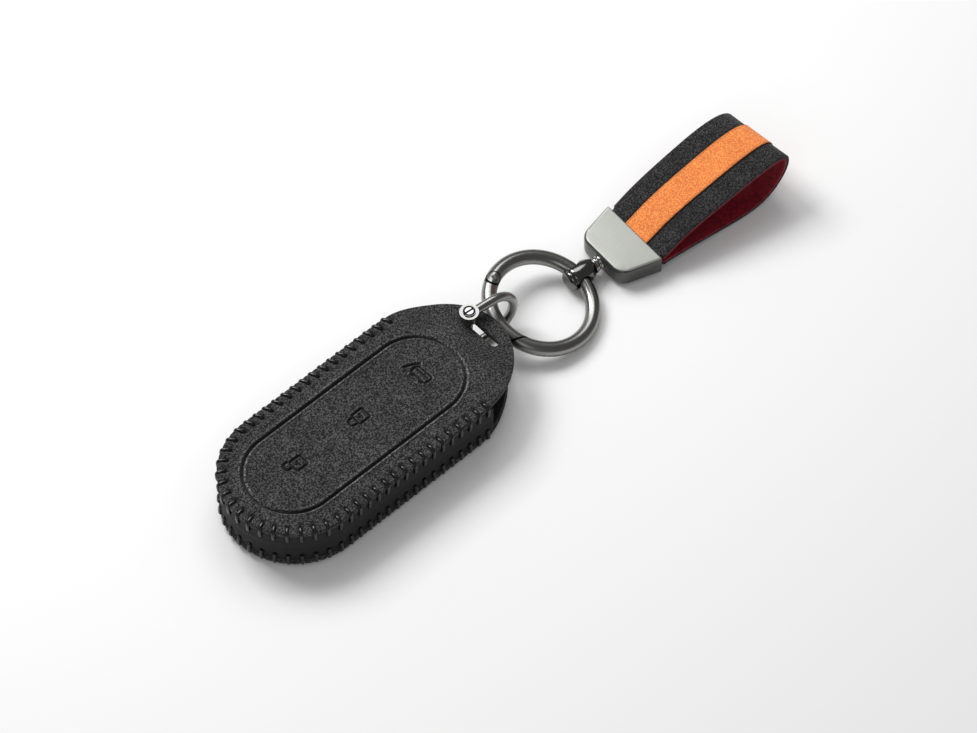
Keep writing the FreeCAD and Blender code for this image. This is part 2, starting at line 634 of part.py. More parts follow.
WASHER_START = "sizes.yoke_front + sizes.stem_play"
WASHER_END = WASHER_START + " + sizes.washer_thick"
COLLAR_END = WASHER_END + " + sizes.collar_length"
STEM_END = "sizes.clasp_start + sizes.socket_depth"
stem_body = doc.addObject("PartDesign::Body", "stem_turned")
stem_half = polygon(stem_body, "stem_half", "XY_Plane", [
    (SINK_START, "0"),
    (SINK_START, "sizes.sink_diameter / 2"),
    (SINK_START + " + sizes.sink_depth", "sizes.shank_diameter / 2"),
    (WASHER_END, "sizes.shank_diameter / 2"),
    (WASHER_END, "sizes.collar_diameter / 2"),
    (COLLAR_END, "sizes.collar_diameter / 2"),
    (COLLAR_END, "sizes.neck_diameter / 2"),
    (STEM_END, "sizes.neck_diameter / 2"),
    (STEM_END, "0"),
])
stem_turn = stem_body.newObject("PartDesign::Revolution", "stem_turn")
stem_turn.Profile = stem_half
stem_turn.ReferenceAxis = (stem_half, ["H_Axis"])
stem_turn.Angle = 360
washer_disc = cylinder("washer_disc", "sizes.washer_diameter / 2", "sizes.washer_thick", WASHER_START,
                       axis=ALONG, turn="90")
washer_hole = cylinder("washer_hole", "sizes.shank_diameter / 2 + sizes.stem_play",
                       "sizes.washer_thick + 2 * sizes.overrun", WASHER_START + " - sizes.overrun",
                       axis=ALONG, turn="90")
swivel_washer = cut("swivel_washer", washer_disc, washer_hole)

# Clasp: a tapered block with a bevel along its ring side, a mouth for the strap ends and a socket.
CLASP_END = "sizes.clasp_start + sizes.clasp_length"
TOP = "sizes.clasp_height / 2"
clasp_body = slab("clasp_block", "XY_Plane",
                  [("sizes.clasp_start", "-sizes.clasp_narrow / 2"), (CLASP_END, "-sizes.clasp_wide / 2"),
                   (CLASP_END, "sizes.clasp_wide / 2"), ("sizes.clasp_start", "sizes.clasp_narrow / 2")],
                  "sizes.clasp_height")
doc.recompute()


def edges_where(thing, wanted):
    """Names of the edges of a feature whose two ends both pass a test."""
    chosen = []
    for index, edge in enumerate(thing.Shape.Edges, start=1):
        if all(wanted(vertex.Point) for vertex in edge.Vertexes):
            chosen.append("Edge%d" % index)
    return chosen


middle_line = size("sizes.clasp_start + sizes.clasp_length / 2")
roof = size(TOP)
clasp_pad = clasp_body.getObject("clasp_block_pad")
corners = [name for name in edges_where(clasp_pad, lambda point: point.x < middle_line)
           if abs(clasp_pad.Shape.getElement(name).tangentAt(0).z) > 1 / 2]
clasp_corners = clasp_body.newObject("PartDesign::Fillet", "clasp_corners")
clasp_corners.Base = (clasp_pad, corners)
tie(clasp_corners, Radius="sizes.clasp_corner")
doc.recompute()
rims = []
for name in edges_where(clasp_corners, lambda point: True):
    edge = clasp_corners.Shape.getElement(name)
    flat = abs(edge.BoundBox.ZLength) < roof / 2
    if flat and edge.BoundBox.XMin < middle_line:
        rims.append(name)
clasp_bevel = clasp_body.newObject("PartDesign::Chamfer", "clasp_bevel")
clasp_bevel.Base = (clasp_corners, rims)
tie(clasp_bevel, Size="sizes.clasp_bevel")
doc.recompute()
STACK = "(sizes.strap_thick + sizes.strap_lining_thick + sizes.strap_part / 2)"
MOUTH_HALF = STACK + " + sizes.stripe_thick + sizes.mouth_play"
MOUTH_WIDE = "(sizes.strap_width / 2 + sizes.mouth_play)"
TAPER = "(sizes.clasp_wide - sizes.clasp_narrow) / 2 / sizes.clasp_length"
mouth_in = CLASP_END + " - sizes.mouth_depth"
mouth_out = CLASP_END + " + sizes.overrun"
mouth_narrow = MOUTH_WIDE + " - sizes.mouth_depth * " + TAPER
mouth_past = MOUTH_WIDE + " + sizes.overrun * " + TAPER
mouth = slab("clasp_mouth", "XY_Plane",
             [(mouth_in, "-(%s)" % mouth_narrow), (mouth_out, "-(%s)" % mouth_past),
              (mouth_out, mouth_past), (mouth_in, mouth_narrow)], "2 * (%s)" % MOUTH_HALF)
socket = cylinder("clasp_socket", "sizes.neck_diameter / 2", "sizes.socket_depth + sizes.overrun",
                  "sizes.clasp_start - sizes.overrun", axis=ALONG, turn="90")
SCREW_X = CLASP_END + " - sizes.mouth_depth / 2"
screw_holes = []
set_screws = []
for name, sign in (("left", ""), ("right", "-")):
    side = sign + "sizes.set_screw_spacing / 2"
    hole = cylinder("set_hole_" + name, "sizes.set_screw_diameter / 2 + sizes.set_screw_play",
                    "%s + sizes.overrun - %s" % (TOP, STACK), SCREW_X, side, "-(%s) - sizes.overrun" % TOP)
    screw_holes.append(hole)
    grub = cylinder("grub_" + name, "sizes.set_screw_diameter / 2",
                    "%s - %s - sizes.set_screw_play" % (TOP, STACK), SCREW_X, side, "-(%s)" % TOP)
    key = cylinder("grub_drive_" + name, "sizes.set_screw_drive / 2",
                   "sizes.set_screw_drive_depth + sizes.overrun", SCREW_X, side,
                   "-(%s) - sizes.overrun" % TOP)
    set_screws.append(cut("set_screw_" + name, grub, key))
clasp_shell = cut("clasp_shell", clasp_body, fuse("clasp_cuts", mouth, socket, *screw_holes))
clasp_screws = doc.addObject("Part::Compound", "clasp_screws")
clasp_screws.Links = set_screws

# Places of the case, the ring, the shackle and the strap in the whole. The case lies on its back
# stitches, and the bow, the ring and the strap lie on the same floor.
case_place = FreeCAD.Placement()
floor = -size("sizes.thread_diameter + sizes.thread_play")
ring_z = floor + size("sizes.ring_radius * sin(sizes.ring_tilt) + sizes.wire_diameter / 2")
way = math.radians(size("sizes.ring_tilt_way"))
ring_lean = FreeCAD.Rotation(V(-math.sin(way), math.cos(way), 0), size("sizes.ring_tilt"))
ring_x = size("sizes.nose_centre + sizes.nose_length + sizes.ring_radius + sizes.wire_diameter / 2")
ring_x -= size("sizes.ring_lap")
ring_place = FreeCAD.Placement(V(ring_x, size("sizes.ring_y"), ring_z), ring_lean)
yoke_turn = math.radians(size("sizes.yoke_angle"))
radius = size("sizes.ring_radius")
branch_base = ring_place.multVec(V(radius * math.cos(yoke_turn), radius * math.sin(yoke_turn), 0))
tangent = ring_place.Rotation.multVec(V(-math.sin(yoke_turn), math.cos(yoke_turn), 0))
yaw = math.radians(size("sizes.branch_yaw"))
branch_way = V(math.cos(yaw), math.sin(yaw), 0)
yoke_up = branch_way.cross(tangent).normalize()
yoke_side = yoke_up.cross(branch_way)
yoke_place = FreeCAD.Placement(branch_base, FreeCAD.Rotation(branch_way, yoke_side, yoke_up, "XZY"))
branch_place = FreeCAD.Placement(branch_base, FreeCAD.Rotation(V(0, 0, 1), size("sizes.branch_yaw")))
pin_y = size("(sizes.slot_length - sizes.slot_width) / 2 - sizes.pin_end_play")
shackle_z = floor + size(EYE_TOP)
shackle_place = FreeCAD.Placement(V(size("sizes.slot_centre"), pin_y, shackle_z),
                                  FreeCAD.Rotation(V(0, 0, 1), size("sizes.bow_yaw")))
mouth_point = branch_place.multVec(V(size(CLASP_END), 0, 0))
strap_yaw = size("sizes.branch_yaw + sizes.strap_skew")
strap_place = FreeCAD.Placement(mouth_point, FreeCAD.Rotation(V(0, 0, 1), strap_yaw))

# Strap loop: a drop outline of two straight runs and a round, offset for each layer. The runs leave
# the clasp as flat tails, and the round's low side lies on the floor.
stack = size(STACK)
loop_x = size("sizes.loop_reach")
loop_r = size("sizes.loop_radius")
loop_z = floor + loop_r + size("sizes.stripe_thick") - branch_base.z
tail = size("sizes.strap_tail")
rise = math.asin(loop_r / math.hypot(loop_x, stack - loop_z)) - math.atan2(stack - loop_z, loop_x)
fall = math.asin(loop_r / math.hypot(loop_x, stack + loop_z)) - math.atan2(stack + loop_z, loop_x)


def drop_line(depth, reverse):
    """Edges of the drop outline, a depth inside the strap's outer face."""
    up = V(-math.sin(rise), 0, math.cos(rise))
    down = V(-math.sin(fall), 0, -math.cos(fall))
    centre = V(loop_x, 0, loop_z)
    points = [V(-tail, 0, stack - depth), V(depth * math.tan(rise / 2), 0, stack - depth),
              centre.add(up.multiply(loop_r - depth)), V(loop_x + loop_r - depth, 0, loop_z),
              centre.add(down.multiply(loop_r - depth)), V(depth * math.tan(fall / 2), 0, depth - stack),
              V(-tail, 0, depth - stack)]
    if reverse:
        points.reverse()
    lines = [Part.makeLine(points[0], points[1]), Part.makeLine(points[1], points[2])]
    lines.append(Part.Arc(points[2], points[3], points[4]).toShape())
    lines += [Part.makeLine(points[4], points[5]), Part.makeLine(points[5], points[6])]
    return lines, points[0], points[6]


def strap_layer(name, outer, inner, width):
    """A layer of the strap between two depths, narrowed to a tail inside the clasp."""
    there, start, turn_point = drop_line(outer, False)
    back, turn_back, last = drop_line(inner, True)
    edges = there + [Part.makeLine(turn_point, turn_back)] + back + [Part.makeLine(last, start)]
    face = Part.Face(Part.Wire(edges))
    half = width / 2
    face.translate(V(0, -half, 0))
    loop = face.extrude(V(0, width, 0))
    inset = size("sizes.tail_inset")
    taper = size(TAPER)
    shoulder = size("sizes.strap_shoulder")
    wide = min(half, size("sizes.strap_width / 2") - inset)
    narrow = min(wide, wide - tail * taper)
    far = loop_x + loop_r + overrun
    plan = [(-tail, narrow), (0, wide), (shoulder, wide), (shoulder, half), (far, half)]
    low = size("-sizes.clasp_height") - loop_r
    rim = [V(x, y, low) for x, y in plan] + [V(x, -y, low) for x, y in reversed(plan)]
    tall = 4 * loop_r + size("sizes.clasp_height")
    prism = Part.Face(Part.makePolygon(rim + rim[:1])).extrude(V(0, 0, tall))
    return shaped(name, loop.common(prism))


strap_width = size("sizes.strap_width")
thick = size("sizes.strap_thick")
strap_outer = strap_layer("strap_outer", 0, thick, strap_width)
lining_end = size("sizes.strap_thick + sizes.strap_lining_thick")
strap_lining = strap_layer("strap_lining", thick, lining_end, strap_width)
strap_stripe = strap_layer("strap_stripe", size("-sizes.stripe_thick"), 0, size("sizes.stripe_width"))

doc.recompute()
NODES = [
    ("front_panel", front_panel, case_place),
    ("front_lining", front_lining, case_place),
    ("back_panel", back_panel, case_place),
    ("back_lining", back_lining, case_place),
    ("side_band", side_band, case_place),
    ("front_thread", front_thread, case_place),
    ("back_thread", back_thread, case_place),
    ("shackle_screw", shackle_screw, shackle_place),
    ("shackle_bow", shackle_bow, shackle_place),
    ("ring_body", ring_body, ring_place),
    ("ring_gate", ring_gate, ring_place),
    ("gate_rivet", gate_rivet, ring_place),
    ("gate_spring", gate_spring, ring_place),
    ("swivel_yoke", swivel_yoke, yoke_place),
    ("swivel_stem", stem_body, branch_place),
    ("swivel_washer", swivel_washer, branch_place),
    ("clasp_shell", clasp_shell, branch_place),
    ("clasp_screws", clasp_screws, branch_place),
    ("strap_outer", strap_outer, strap_place),
    ("strap_stripe", strap_stripe, strap_place),
    ("strap_lining", strap_lining, strap_place),
]
for thing in doc.Objects:
    if "Invalid" in thing.State or "Error" in thing.State:
        raise RuntimeError("failed: " + thing.Name)
shapes = []
for label, thing, place in NODES:
    thing.Label = label
    for axis in ("x", "y", "z"):
        thing.setExpression("Placement.Base." + axis, None)
    thing.Placement = place.multiply(thing.Placement)
    if thing.Shape.isNull() or not thing.Shape.isValid() or not thing.Shape.Solids:
        raise RuntimeError("bad shape: " + label)
    shapes.append((label, thing.Shape))
for label, shape in shapes:
    shape.exportStep("parts/" + label + ".step")
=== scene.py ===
"""Looks of a sewn key fob cover with its shackle, ring, swivel clasp and strap loop."""

import math
from types import SimpleNamespace

import bmesh
import bpy
import numpy as np
from bpy.props import FloatProperty, FloatVectorProperty, IntProperty, PointerProperty
from bpy.types import Operator, Panel, PropertyGroup
from mathutils import Matrix, Vector


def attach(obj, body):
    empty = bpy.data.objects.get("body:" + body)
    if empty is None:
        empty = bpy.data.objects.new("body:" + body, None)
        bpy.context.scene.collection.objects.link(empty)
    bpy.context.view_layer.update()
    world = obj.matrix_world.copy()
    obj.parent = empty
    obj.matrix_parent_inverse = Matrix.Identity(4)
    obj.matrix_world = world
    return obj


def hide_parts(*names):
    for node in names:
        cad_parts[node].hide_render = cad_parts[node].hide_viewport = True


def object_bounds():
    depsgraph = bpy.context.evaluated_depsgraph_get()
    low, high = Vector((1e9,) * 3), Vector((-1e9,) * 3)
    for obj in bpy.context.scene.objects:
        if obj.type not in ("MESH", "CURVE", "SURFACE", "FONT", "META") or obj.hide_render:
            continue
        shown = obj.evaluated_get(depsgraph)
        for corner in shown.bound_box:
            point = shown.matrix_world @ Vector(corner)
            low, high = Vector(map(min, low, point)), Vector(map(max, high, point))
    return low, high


bl_info = {
    "name": "Key Fob Cover",
    "version": (1, 0, 0),
    "blender": (4, 5, 0),
    "location": "View3D > Sidebar > Key Fob",
    "description": "Suede, thread and metal of a sewn key fob cover",
    "category": "Object",
}

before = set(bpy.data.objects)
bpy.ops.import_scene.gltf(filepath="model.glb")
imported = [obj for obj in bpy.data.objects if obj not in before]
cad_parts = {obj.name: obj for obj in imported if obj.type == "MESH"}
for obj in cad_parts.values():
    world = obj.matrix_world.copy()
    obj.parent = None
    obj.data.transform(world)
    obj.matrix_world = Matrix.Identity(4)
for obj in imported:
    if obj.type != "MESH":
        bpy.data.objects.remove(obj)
CAD_BOX = [list(corner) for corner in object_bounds()]
MM = 0.001
UP = np.array([0.0, 0.0, 1.0])
WELD = 2e-7
CREASE = math.radians(50)


# Sizes and colours


def length(name, description, millimetres):
    """A length property whose default is given in millimetres."""
    return FloatProperty(name=name, description=description, default=millimetres * MM, unit="LENGTH", precision=5)


def point(name, description, *millimetres):
    """A point property whose default is given in millimetres."""
    return FloatVectorProperty(name=name, description=description, default=[v * MM for v in millimetres], size=3,
                               unit="LENGTH", precision=5)


def direction(name, description, *value):
    """A direction property."""
    return FloatVectorProperty(name=name, description=description, default=value, size=3, subtype="DIRECTION",
                               precision=5)


def angle(name, description, degrees):
    """An angle property whose default is given in degrees."""
    return FloatProperty(name=name, description=description, default=math.radians(degrees), subtype="ANGLE")


def colour(name, description, *value):
    """A colour property in linear light."""
    return FloatVectorProperty(name=name, description=description, default=value, size=3, subtype="COLOR",
                               min=0, max=1)


class CaseSizes(PropertyGroup):
    """Sizes of the sewn case, measured from the back panel's outer face."""

    height: length("Height", "From the back face to the front face", 14.2)
    half_width: length("Half width", "Half of the case's width", 20.5)
    butt_centre: length("Butt centre", "Distance of the butt round's centre behind the origin", 21.3)
    nose_centre: length("Nose centre", "Distance of the nose's centre before the origin", 25.0)
    nose_length: length("Nose length", "Long half axis of the nose", 26.0)
    leather: length("Leather", "Thickness of the suede", 1.3)
    lining: length("Lining", "Thickness of the lining", 0.6)
    lining_inset: length("Lining inset", "How far the linings lie inside the panels", 0.25)
    glue: length("Glue", "Gap between a lining and its panel", 0.02)
    bend_start: length("Bend start", "Where the flaps begin to bend", 31.0)
    bend_end: length("Bend end", "Where the flaps are level again", 41.5)
    bend_soft: length("Bend soft", "How far the bend eases out at either end", 1.0)
    front_drop: length("Front drop", "How far the front flap drops", 1.6)
    back_rise: length("Back rise", "How far the back flap rises", 3.1)
    back_short: length("Back short", "How much shorter the back flap is", 2.8)
    band: length("Band", "Thickness of the side band", 1.8)
    band_inset: length("Band inset", "How far the band lies inside the panels", 0.4)
    rim: length("Rim", "Rounding of the cut edge", 0.5)
    groove_half: length("Groove half", "Half of the groove's straight run", 22.1)
    groove_radius: length("Groove radius", "Radius of the groove's ends", 13.0)
    groove_depth: length("Groove depth", "Depth of the pressed line", 0.55)
    sign_depth: length("Sign depth", "Depth of the pressed signs", 0.42)
    sign_spacing: length("Sign spacing", "Distance between two signs", 22.0)
    sign_shift: length("Sign shift", "Place of the middle sign along the case", 1.3)
    sign_side: length("Sign side", "Place of the signs across the case", 0.8)
    slot_centre: length("Slot centre", "Place of the slot along the case", 45.4)
    slot_half: length("Slot half", "Half of the slot's straight run", 5.0)
    slot_radius: length("Slot radius", "Half of the slot's width", 1.2)
    pin: point("Pin", "Place of the shackle's screw", 45.4, 4.9, 7.9)


class StitchSizes(PropertyGroup):
    """Sizes of the whip stitches."""

    pitch: length("Pitch", "Distance of two stitches along the sides", 3.25)
    inset: length("Inset", "Distance of the holes from the edge", 2.5)
    width: length("Width", "Half width of the waxed thread", 0.5)
    thick: length("Thickness", "Half thickness of the waxed thread", 0.3)
    side_count: IntProperty(name="Side count", description="Stitches along one side", default=16)
    end_count: IntProperty(name="End count", description="Stitches round the butt end", default=17)
    left_slant: angle("Left slant", "Lean of the stitches on the left side", 24)
    right_slant: angle("Right slant", "Lean of the stitches on the right side", -4)


class StrapSizes(PropertyGroup):
    """Sizes of the strap loop, drawn from the middle of the clasp's mouth."""

    width: length("Width", "Width of the strap", 21.8)
    tail_width: length("Tail width", "Width of the tails inside the clasp", 20.4)
    outer: length("Outer", "Thickness of the suede", 1.0)
    outer_edge: length("Outer edge", "Rounding of the suede's edges", 0.4)
    lining: length("Lining", "Thickness of the lining", 0.6)
    lining_edge: length("Lining edge", "Rounding of the lining's edges", 0.2)
    stripe_width: length("Stripe width", "Width of the stripe", 9.0)
    stripe: length("Stripe", "Thickness of the stripe", 0.3)
    stripe_edge: length("Stripe edge", "Rounding of the stripe's edges", 0.14)
    mouth: point("Mouth", "Middle of the clasp's mouth", 101.9196, -0.6072, 3.0153)
    yaw: angle("Yaw", "Turn of the strap about the upright", -4.8)


class SwivelSizes(PropertyGroup):
    """Sizes of the yoke, the stem and the clasp, drawn from the middle of the ring's bar."""

    middle: point("Middle", "Middle of the ring's bar in the yoke", 81.76879, 0.80188, 3.01526)
    yaw: angle("Yaw", "Turn of the swivel about the upright", -4)
    bore_way: direction("Bore way", "Direction of the ring's bar in the yoke", 0.068084, 0.973641, 0.217686)
    rivet: point("Rivet", "Place of the rivet in the ring", 60.83681, 12.51202, 8.45218)
    ring_way: direction("Ring way", "Direction square to the ring", 0.132681, -0.212334, 0.968148)
    bore: length("Bore", "Radius of the yoke's bore at its waist", 2.45)
    flare: length("Flare", "Radius of the yoke's bore at its mouths", 3.02)
    flare_half: length("Flare half", "Distance of the bore's mouths from its waist", 3.4)
    clasp_start: length("Clasp start", "Where the clasp begins", 7.7)
    clasp_end: length("Clasp end", "Where the clasp's mouth lies", 20.2)
    clasp_wide: length("Clasp wide", "Half width at the mouth", 11.75)
    clasp_narrow: length("Clasp narrow", "Half width at the stem", 8.5)
    clasp_half: length("Clasp half", "Half of the clasp's height", 3.1)
    clasp_corner: length("Clasp corner", "Rounding of the corners at the stem", 4.2)
    mouth_corner: length("Mouth corner", "Rounding of the corners at the mouth", 0.5)
    clasp_edge: length("Clasp edge", "Rounding of the upper and lower edges", 0.95)
    bevel_width: length("Bevel width", "Width of the bevel on the clasp's upper face at the stem", 1.3)
    bevel_drop: length("Bevel drop", "How far the bevel drops", 0.26)
    mouth_wide: length("Mouth wide", "Half width of the mouth", 10.6)
    mouth_half: length("Mouth half", "Half of the mouth's height", 1.9)
    mouth_depth: length("Mouth depth", "Depth of the mouth", 5.4)
    screw_radius: length("Screw radius", "Radius of the set screws' holes", 1.13)
    screw_back: length("Screw back", "Distance of the set screws from the mouth", 2.8)
    screw_half: length("Screw half", "Half of the distance of the set screws", 6.5)


class Finishes(PropertyGroup):
    """Colours of leather, thread and metal."""

    suede_dark: colour("Suede dark", "Depth of the charcoal nap", 0.004, 0.004, 0.0042)
    suede_light: colour("Suede light", "Tips of the charcoal nap", 0.082, 0.082, 0.084)
    lining: colour("Lining", "Dark lining of the case", 0.02, 0.02, 0.021)
    edge: colour("Edge", "Black edge of the leather", 0.006, 0.006, 0.0063)
    thread: colour("Thread", "Black waxed thread", 0.0035, 0.0035, 0.0038)
    orange: colour("Orange", "Stripe of the strap", 1.0, 0.26, 0.07)
    crimson: colour("Crimson", "Lining of the strap", 0.19, 0.0035, 0.014)
    nickel: colour("Nickel", "Dark nickel of shackle and ring", 0.27, 0.268, 0.258)
    steel: colour("Steel", "Polished steel of screw and stem", 0.36, 0.36, 0.352)
    spring: colour("Spring", "Plain steel of spring and set screws", 0.3, 0.3, 0.3)
    satin: colour("Satin", "Satin top of the clasp", 0.318, 0.324, 0.3)


class StageSizes(PropertyGroup):
    """Camera and floor."""

    azimuth: angle("Azimuth", "Camera's turn round the object", -42.9)
    elevation: angle("Elevation", "Camera's height above the horizon", 55)
    scale: FloatProperty(name="Scale", description="Picture points per millimetre on the front panel", default=3.8)
    focal: FloatProperty(name="Focal", description="Focal length in picture points", default=5000)
    aim: point("Aim", "Point of the front panel that the picture is hung on", 0, 0, 14.1)
    floor: colour("Floor", "Colour of the floor", 0.86, 0.86, 0.86)


def in_mm(group):
    """A property group's lengths in millimetres, its other values as they are."""
    values = {}
    for key, prop in group.bl_rna.properties.items():
        if key in ("rna_type", "name"):
            continue
        value = getattr(group, key)
        if prop.unit == "LENGTH":
            value = np.array(value) / MM if prop.is_array else value / MM
        values[key] = value
    return SimpleNamespace(**values)


# Meshes


def grid_faces(rows, columns):
    """Corner numbers of the cells of a grid that is joined round its columns."""
    row, column = np.meshgrid(np.arange(rows - 1), np.arange(columns), indexing="ij")
    after = (column + 1) % columns
    return np.stack([row * columns + column, row * columns + after,
                     (row + 1) * columns + after, (row + 1) * columns + column], axis=-1).reshape(-1, 4)


def put_mesh(name, points, faces, merge=True):
    """A smooth mesh object from points in millimetres. Doubles are merged and faces turned outwards."""
    mesh = bpy.data.meshes.new(name)
    mesh.from_pydata((points.reshape(-1, 3) * MM).tolist(), [], faces)
    if merge:
        work = bmesh.new()
        work.from_mesh(mesh)
        bmesh.ops.remove_doubles(work, verts=work.verts, dist=WELD)
        bmesh.ops.dissolve_degenerate(work, edges=work.edges, dist=WELD)
        bmesh.ops.recalc_face_normals(work, faces=work.faces)
        work.to_mesh(mesh)
        work.free()
    mesh.polygons.foreach_set("use_smooth", np.ones(len(mesh.polygons), bool))
    thing = bpy.data.objects.new(name, mesh)
    bpy.context.scene.collection.objects.link(thing)
    return thing


def tubes(name, points):
    """Grids that are joined round their columns, each with a cap over its first row and over its last."""
    count, rows, columns = points.shape[:3]
    first = (np.arange(count) * rows * columns)[:, None, None]
    cells = (first + grid_faces(rows, columns)).reshape(-1, 4)
    ends = (first + np.array([[0], [(rows - 1) * columns]]) + np.arange(columns)).reshape(-1, columns)
    return put_mesh(name, points, cells.tolist() + ends.tolist())


def corners(thing):
    """The corners of a piece in millimetres."""
    flat = np.empty(3 * len(thing.data.vertices), np.float32)
    thing.data.vertices.foreach_get("co", flat)
    return flat.reshape(-1, 3).T.astype(float) / MM


def paint(thing, name, values):
    """Give each corner of a piece a value that its finish reads."""
    thing.data.attributes.new(name, "FLOAT", "POINT").data.foreach_set("value", values.astype(np.float32))


def carve(thing, tool):
    """Take one piece's room away from another and drop the tool."""
    cut = thing.modifiers.new("cut", "BOOLEAN")
    cut.operation = "DIFFERENCE"
    cut.solver = "EXACT"
    cut.object = tool
    bpy.context.view_layer.update()
    graph = bpy.context.evaluated_depsgraph_get()
    mesh = bpy.data.meshes.new_from_object(thing.evaluated_get(graph))
    mesh.set_sharp_from_angle(angle=CREASE)
    thing.modifiers.clear()
    old = thing.data
    thing.data = mesh
    bpy.data.meshes.remove(old)
    mesh.name = thing.name
    bpy.data.objects.remove(tool)


def fit(thing, body, target, material):
    """Let a piece stand for a node of the frame, move with its body and wear a finish."""
    thing.data.materials.clear()
    thing.data.materials.append(material)
    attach(thing, body)
    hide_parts(target)


def hill(distance, width):
    """A round hill: the falling power of e at the square of distance over width."""
    return np.exp(-np.square(distance / width))


def ease(x, low, high):
    """The smooth step from 0 at low to 1 at high."""
    t = np.clip((x - low) / (high - low), 0, 1)
    return t * t * (3 - 2 * t)


def pairs(x, y):
    """Points of a plane from their coordinates."""
    return np.stack(np.broadcast_arrays(x, y), axis=-1)


def spline(control, samples):
    """Points of a plane cubic B-spline at even steps of its parameter, and the normals on their left."""
    t = np.linspace(0, control.shape[-2] - 3 - 1e-6, samples)
    i = t.astype(int)
    f = (t - i)[:, None]
    basis = ((1 - f) ** 3, 3 * f ** 3 - 6 * f ** 2 + 4, -3 * f ** 3 + 3 * f ** 2 + 3 * f + 1, f ** 3)
    line = sum(control[..., i + k, :] * b for k, b in enumerate(basis)) / 6
    slope = np.gradient(line, axis=-2)
    slope /= np.linalg.norm(slope, axis=-1, keepdims=True)
    return line, pairs(-slope[..., 1], slope[..., 0])


# Finishes

# Cells of the patterns per metre
NAP, SHADING, FUZZ, TWIST, PLATING, HAIRLINES = 2300, 130, 1700, 1700, 60, 900
PORES, CUT_LAYERS, BRUSHING = (900, 900, 900), (140, 140, 2600), (260, 1800, 260)
# Least and greatest roughness of the metals
NICKEL_ROUGH, STEEL_ROUGH, SPRING_ROUGH, YOKE_ROUGH = (0.24, 0.34), (0.18, 0.28), (0.25, 0.4), (0.14, 0.22)
# Depths under the clasp's top, in metres, where its satin ends and is whole
SATIN_END, SATIN_WHOLE = 0.00042, 0.00034


def shade(tint, factor):
    """A colour made darker or lighter."""
    return tuple(min(1.0, factor * v) for v in tint)


def grey(value):
    """A colour without a hue."""
    return (value,) * 3


def shader(name):
    """A new material with its tree and its main shader."""
    material = bpy.data.materials.new(name)
    material.use_nodes = True
    tree = material.node_tree
    return material, tree, tree.nodes["Principled BSDF"]


def tune(made, **values):
    """Set a node's properties, and set or link its inputs, in whose names an underscore is a space."""
    for key, value in values.items():
        if key[0].islower():
            setattr(made, key, value)
        elif isinstance(value, bpy.types.NodeSocket):
            made.id_data.links.new(value, made.inputs[key.replace("_", " ")])
        else:
            made.inputs[key.replace("_", " ")].default_value = value
    return made


def node(tree, kind, **values):
    """A new node of a tree, tuned."""
    return tune(tree.nodes.new(kind), **values)


def own_place(tree):
    """The piece's own coordinates."""
    return node(tree, "ShaderNodeTexCoord").outputs["Object"]


def vectors(tree, operation, first, second=(0.0, 0.0, 0.0)):
    """A step of vector arithmetic between a socket and fixed numbers."""
    made = node(tree, "ShaderNodeVectorMath", operation=operation)
    tree.links.new(first, made.inputs[0])
    made.inputs[1].default_value = second
    return made.outputs["Value" if operation == "LENGTH" else "Vector"]


def remap(tree, value, start, stop, first=0.0, last=1.0):
    """A value carried from one span to another and held at its ends."""
    made = node(tree, "ShaderNodeMapRange", Value=value, From_Min=start, From_Max=stop, To_Min=first, To_Max=last)
    return made.outputs["Result"]


def grain(tree, scale, detail=3.0, rough=0.6):
    """Noise on the piece's own coordinates; scale counts its cells per metre, on each axis or on all."""
    place = own_place(tree)
    if isinstance(scale, tuple):
        place = node(tree, "ShaderNodeMapping", Vector=place, Scale=scale).outputs["Vector"]
        scale = 1.0
    return node(tree, "ShaderNodeTexNoise", Vector=place, Scale=scale, Detail=detail, Roughness=rough).outputs["Fac"]


def ramp(tree, factor, *stops):
    """A colour ramp of (place, colour) stops."""
    made = node(tree, "ShaderNodeValToRGB", Fac=factor)
    elements = made.color_ramp.elements
    while len(elements) < len(stops):
        elements.new(1.0)
    for element, (place, value) in zip(elements, stops):
        element.position = place
        element.color = (*value, 1.0)
    return made.outputs["Color"]


def painted(tree, name, factor):
    """A factor for a colour: 1 where the painted value is 0, and the factor where it is 1."""
    value = node(tree, "ShaderNodeAttribute", attribute_name=name)
    return ramp(tree, value.outputs["Fac"], (0.0, grey(1.0)), (1.0, grey(factor)))


def blend_colours(tree, kind, factor, first, second):
    """Two colours blended in one of Blender's ways."""
    made = node(tree, "ShaderNodeMix", data_type="RGBA", blend_type=kind)
    for socket, value in ((made.inputs[0], factor), (made.inputs[6], first), (made.inputs[7], second)):
        if isinstance(value, bpy.types.NodeSocket):
            tree.links.new(value, socket)
        else:
            socket.default_value = value
    return made.outputs[2]


def relief(tree, height, strength, distance):
    """The normals of a bump."""
    return node(tree, "ShaderNodeBump", Height=height, Strength=strength, Distance=distance).outputs["Normal"]


def suede(name, dark, light, broad=0.25):
    """Brushed suede: a fine speckle of nap over broad, soft shading, darker under burnish and painted shade, lighter
    under a painted highlight.
    """
    material, tree, main = shader(name)
    middle = tuple(0.7 * d + 0.3 * b for d, b in zip(dark, light))
    tone = ramp(tree, grain(tree, NAP, 2.0), (0.41, dark), (0.5, middle), (0.61, light))
    soft = ramp(tree, grain(tree, SHADING, 2.0), (0.35, grey(1 - broad)), (0.65, grey(1 + broad / 2)))
    # Pressed darkens with burnish and painted shade; the other painted value is a painted highlight.
    for other in (soft, painted(tree, "pressed", 0.04), painted(tree, "painted_highlight", 4.0)):
        tone = blend_colours(tree, "MULTIPLY", 1.0, tone, other)
    tune(main, Base_Color=tone, Roughness=0.92, Specular_IOR_Level=0.25, Sheen_Weight=0.12, Sheen_Roughness=0.5,
         Normal=relief(tree, grain(tree, FUZZ, 4.0, 0.7), 0.75, 0.0002))
    return material


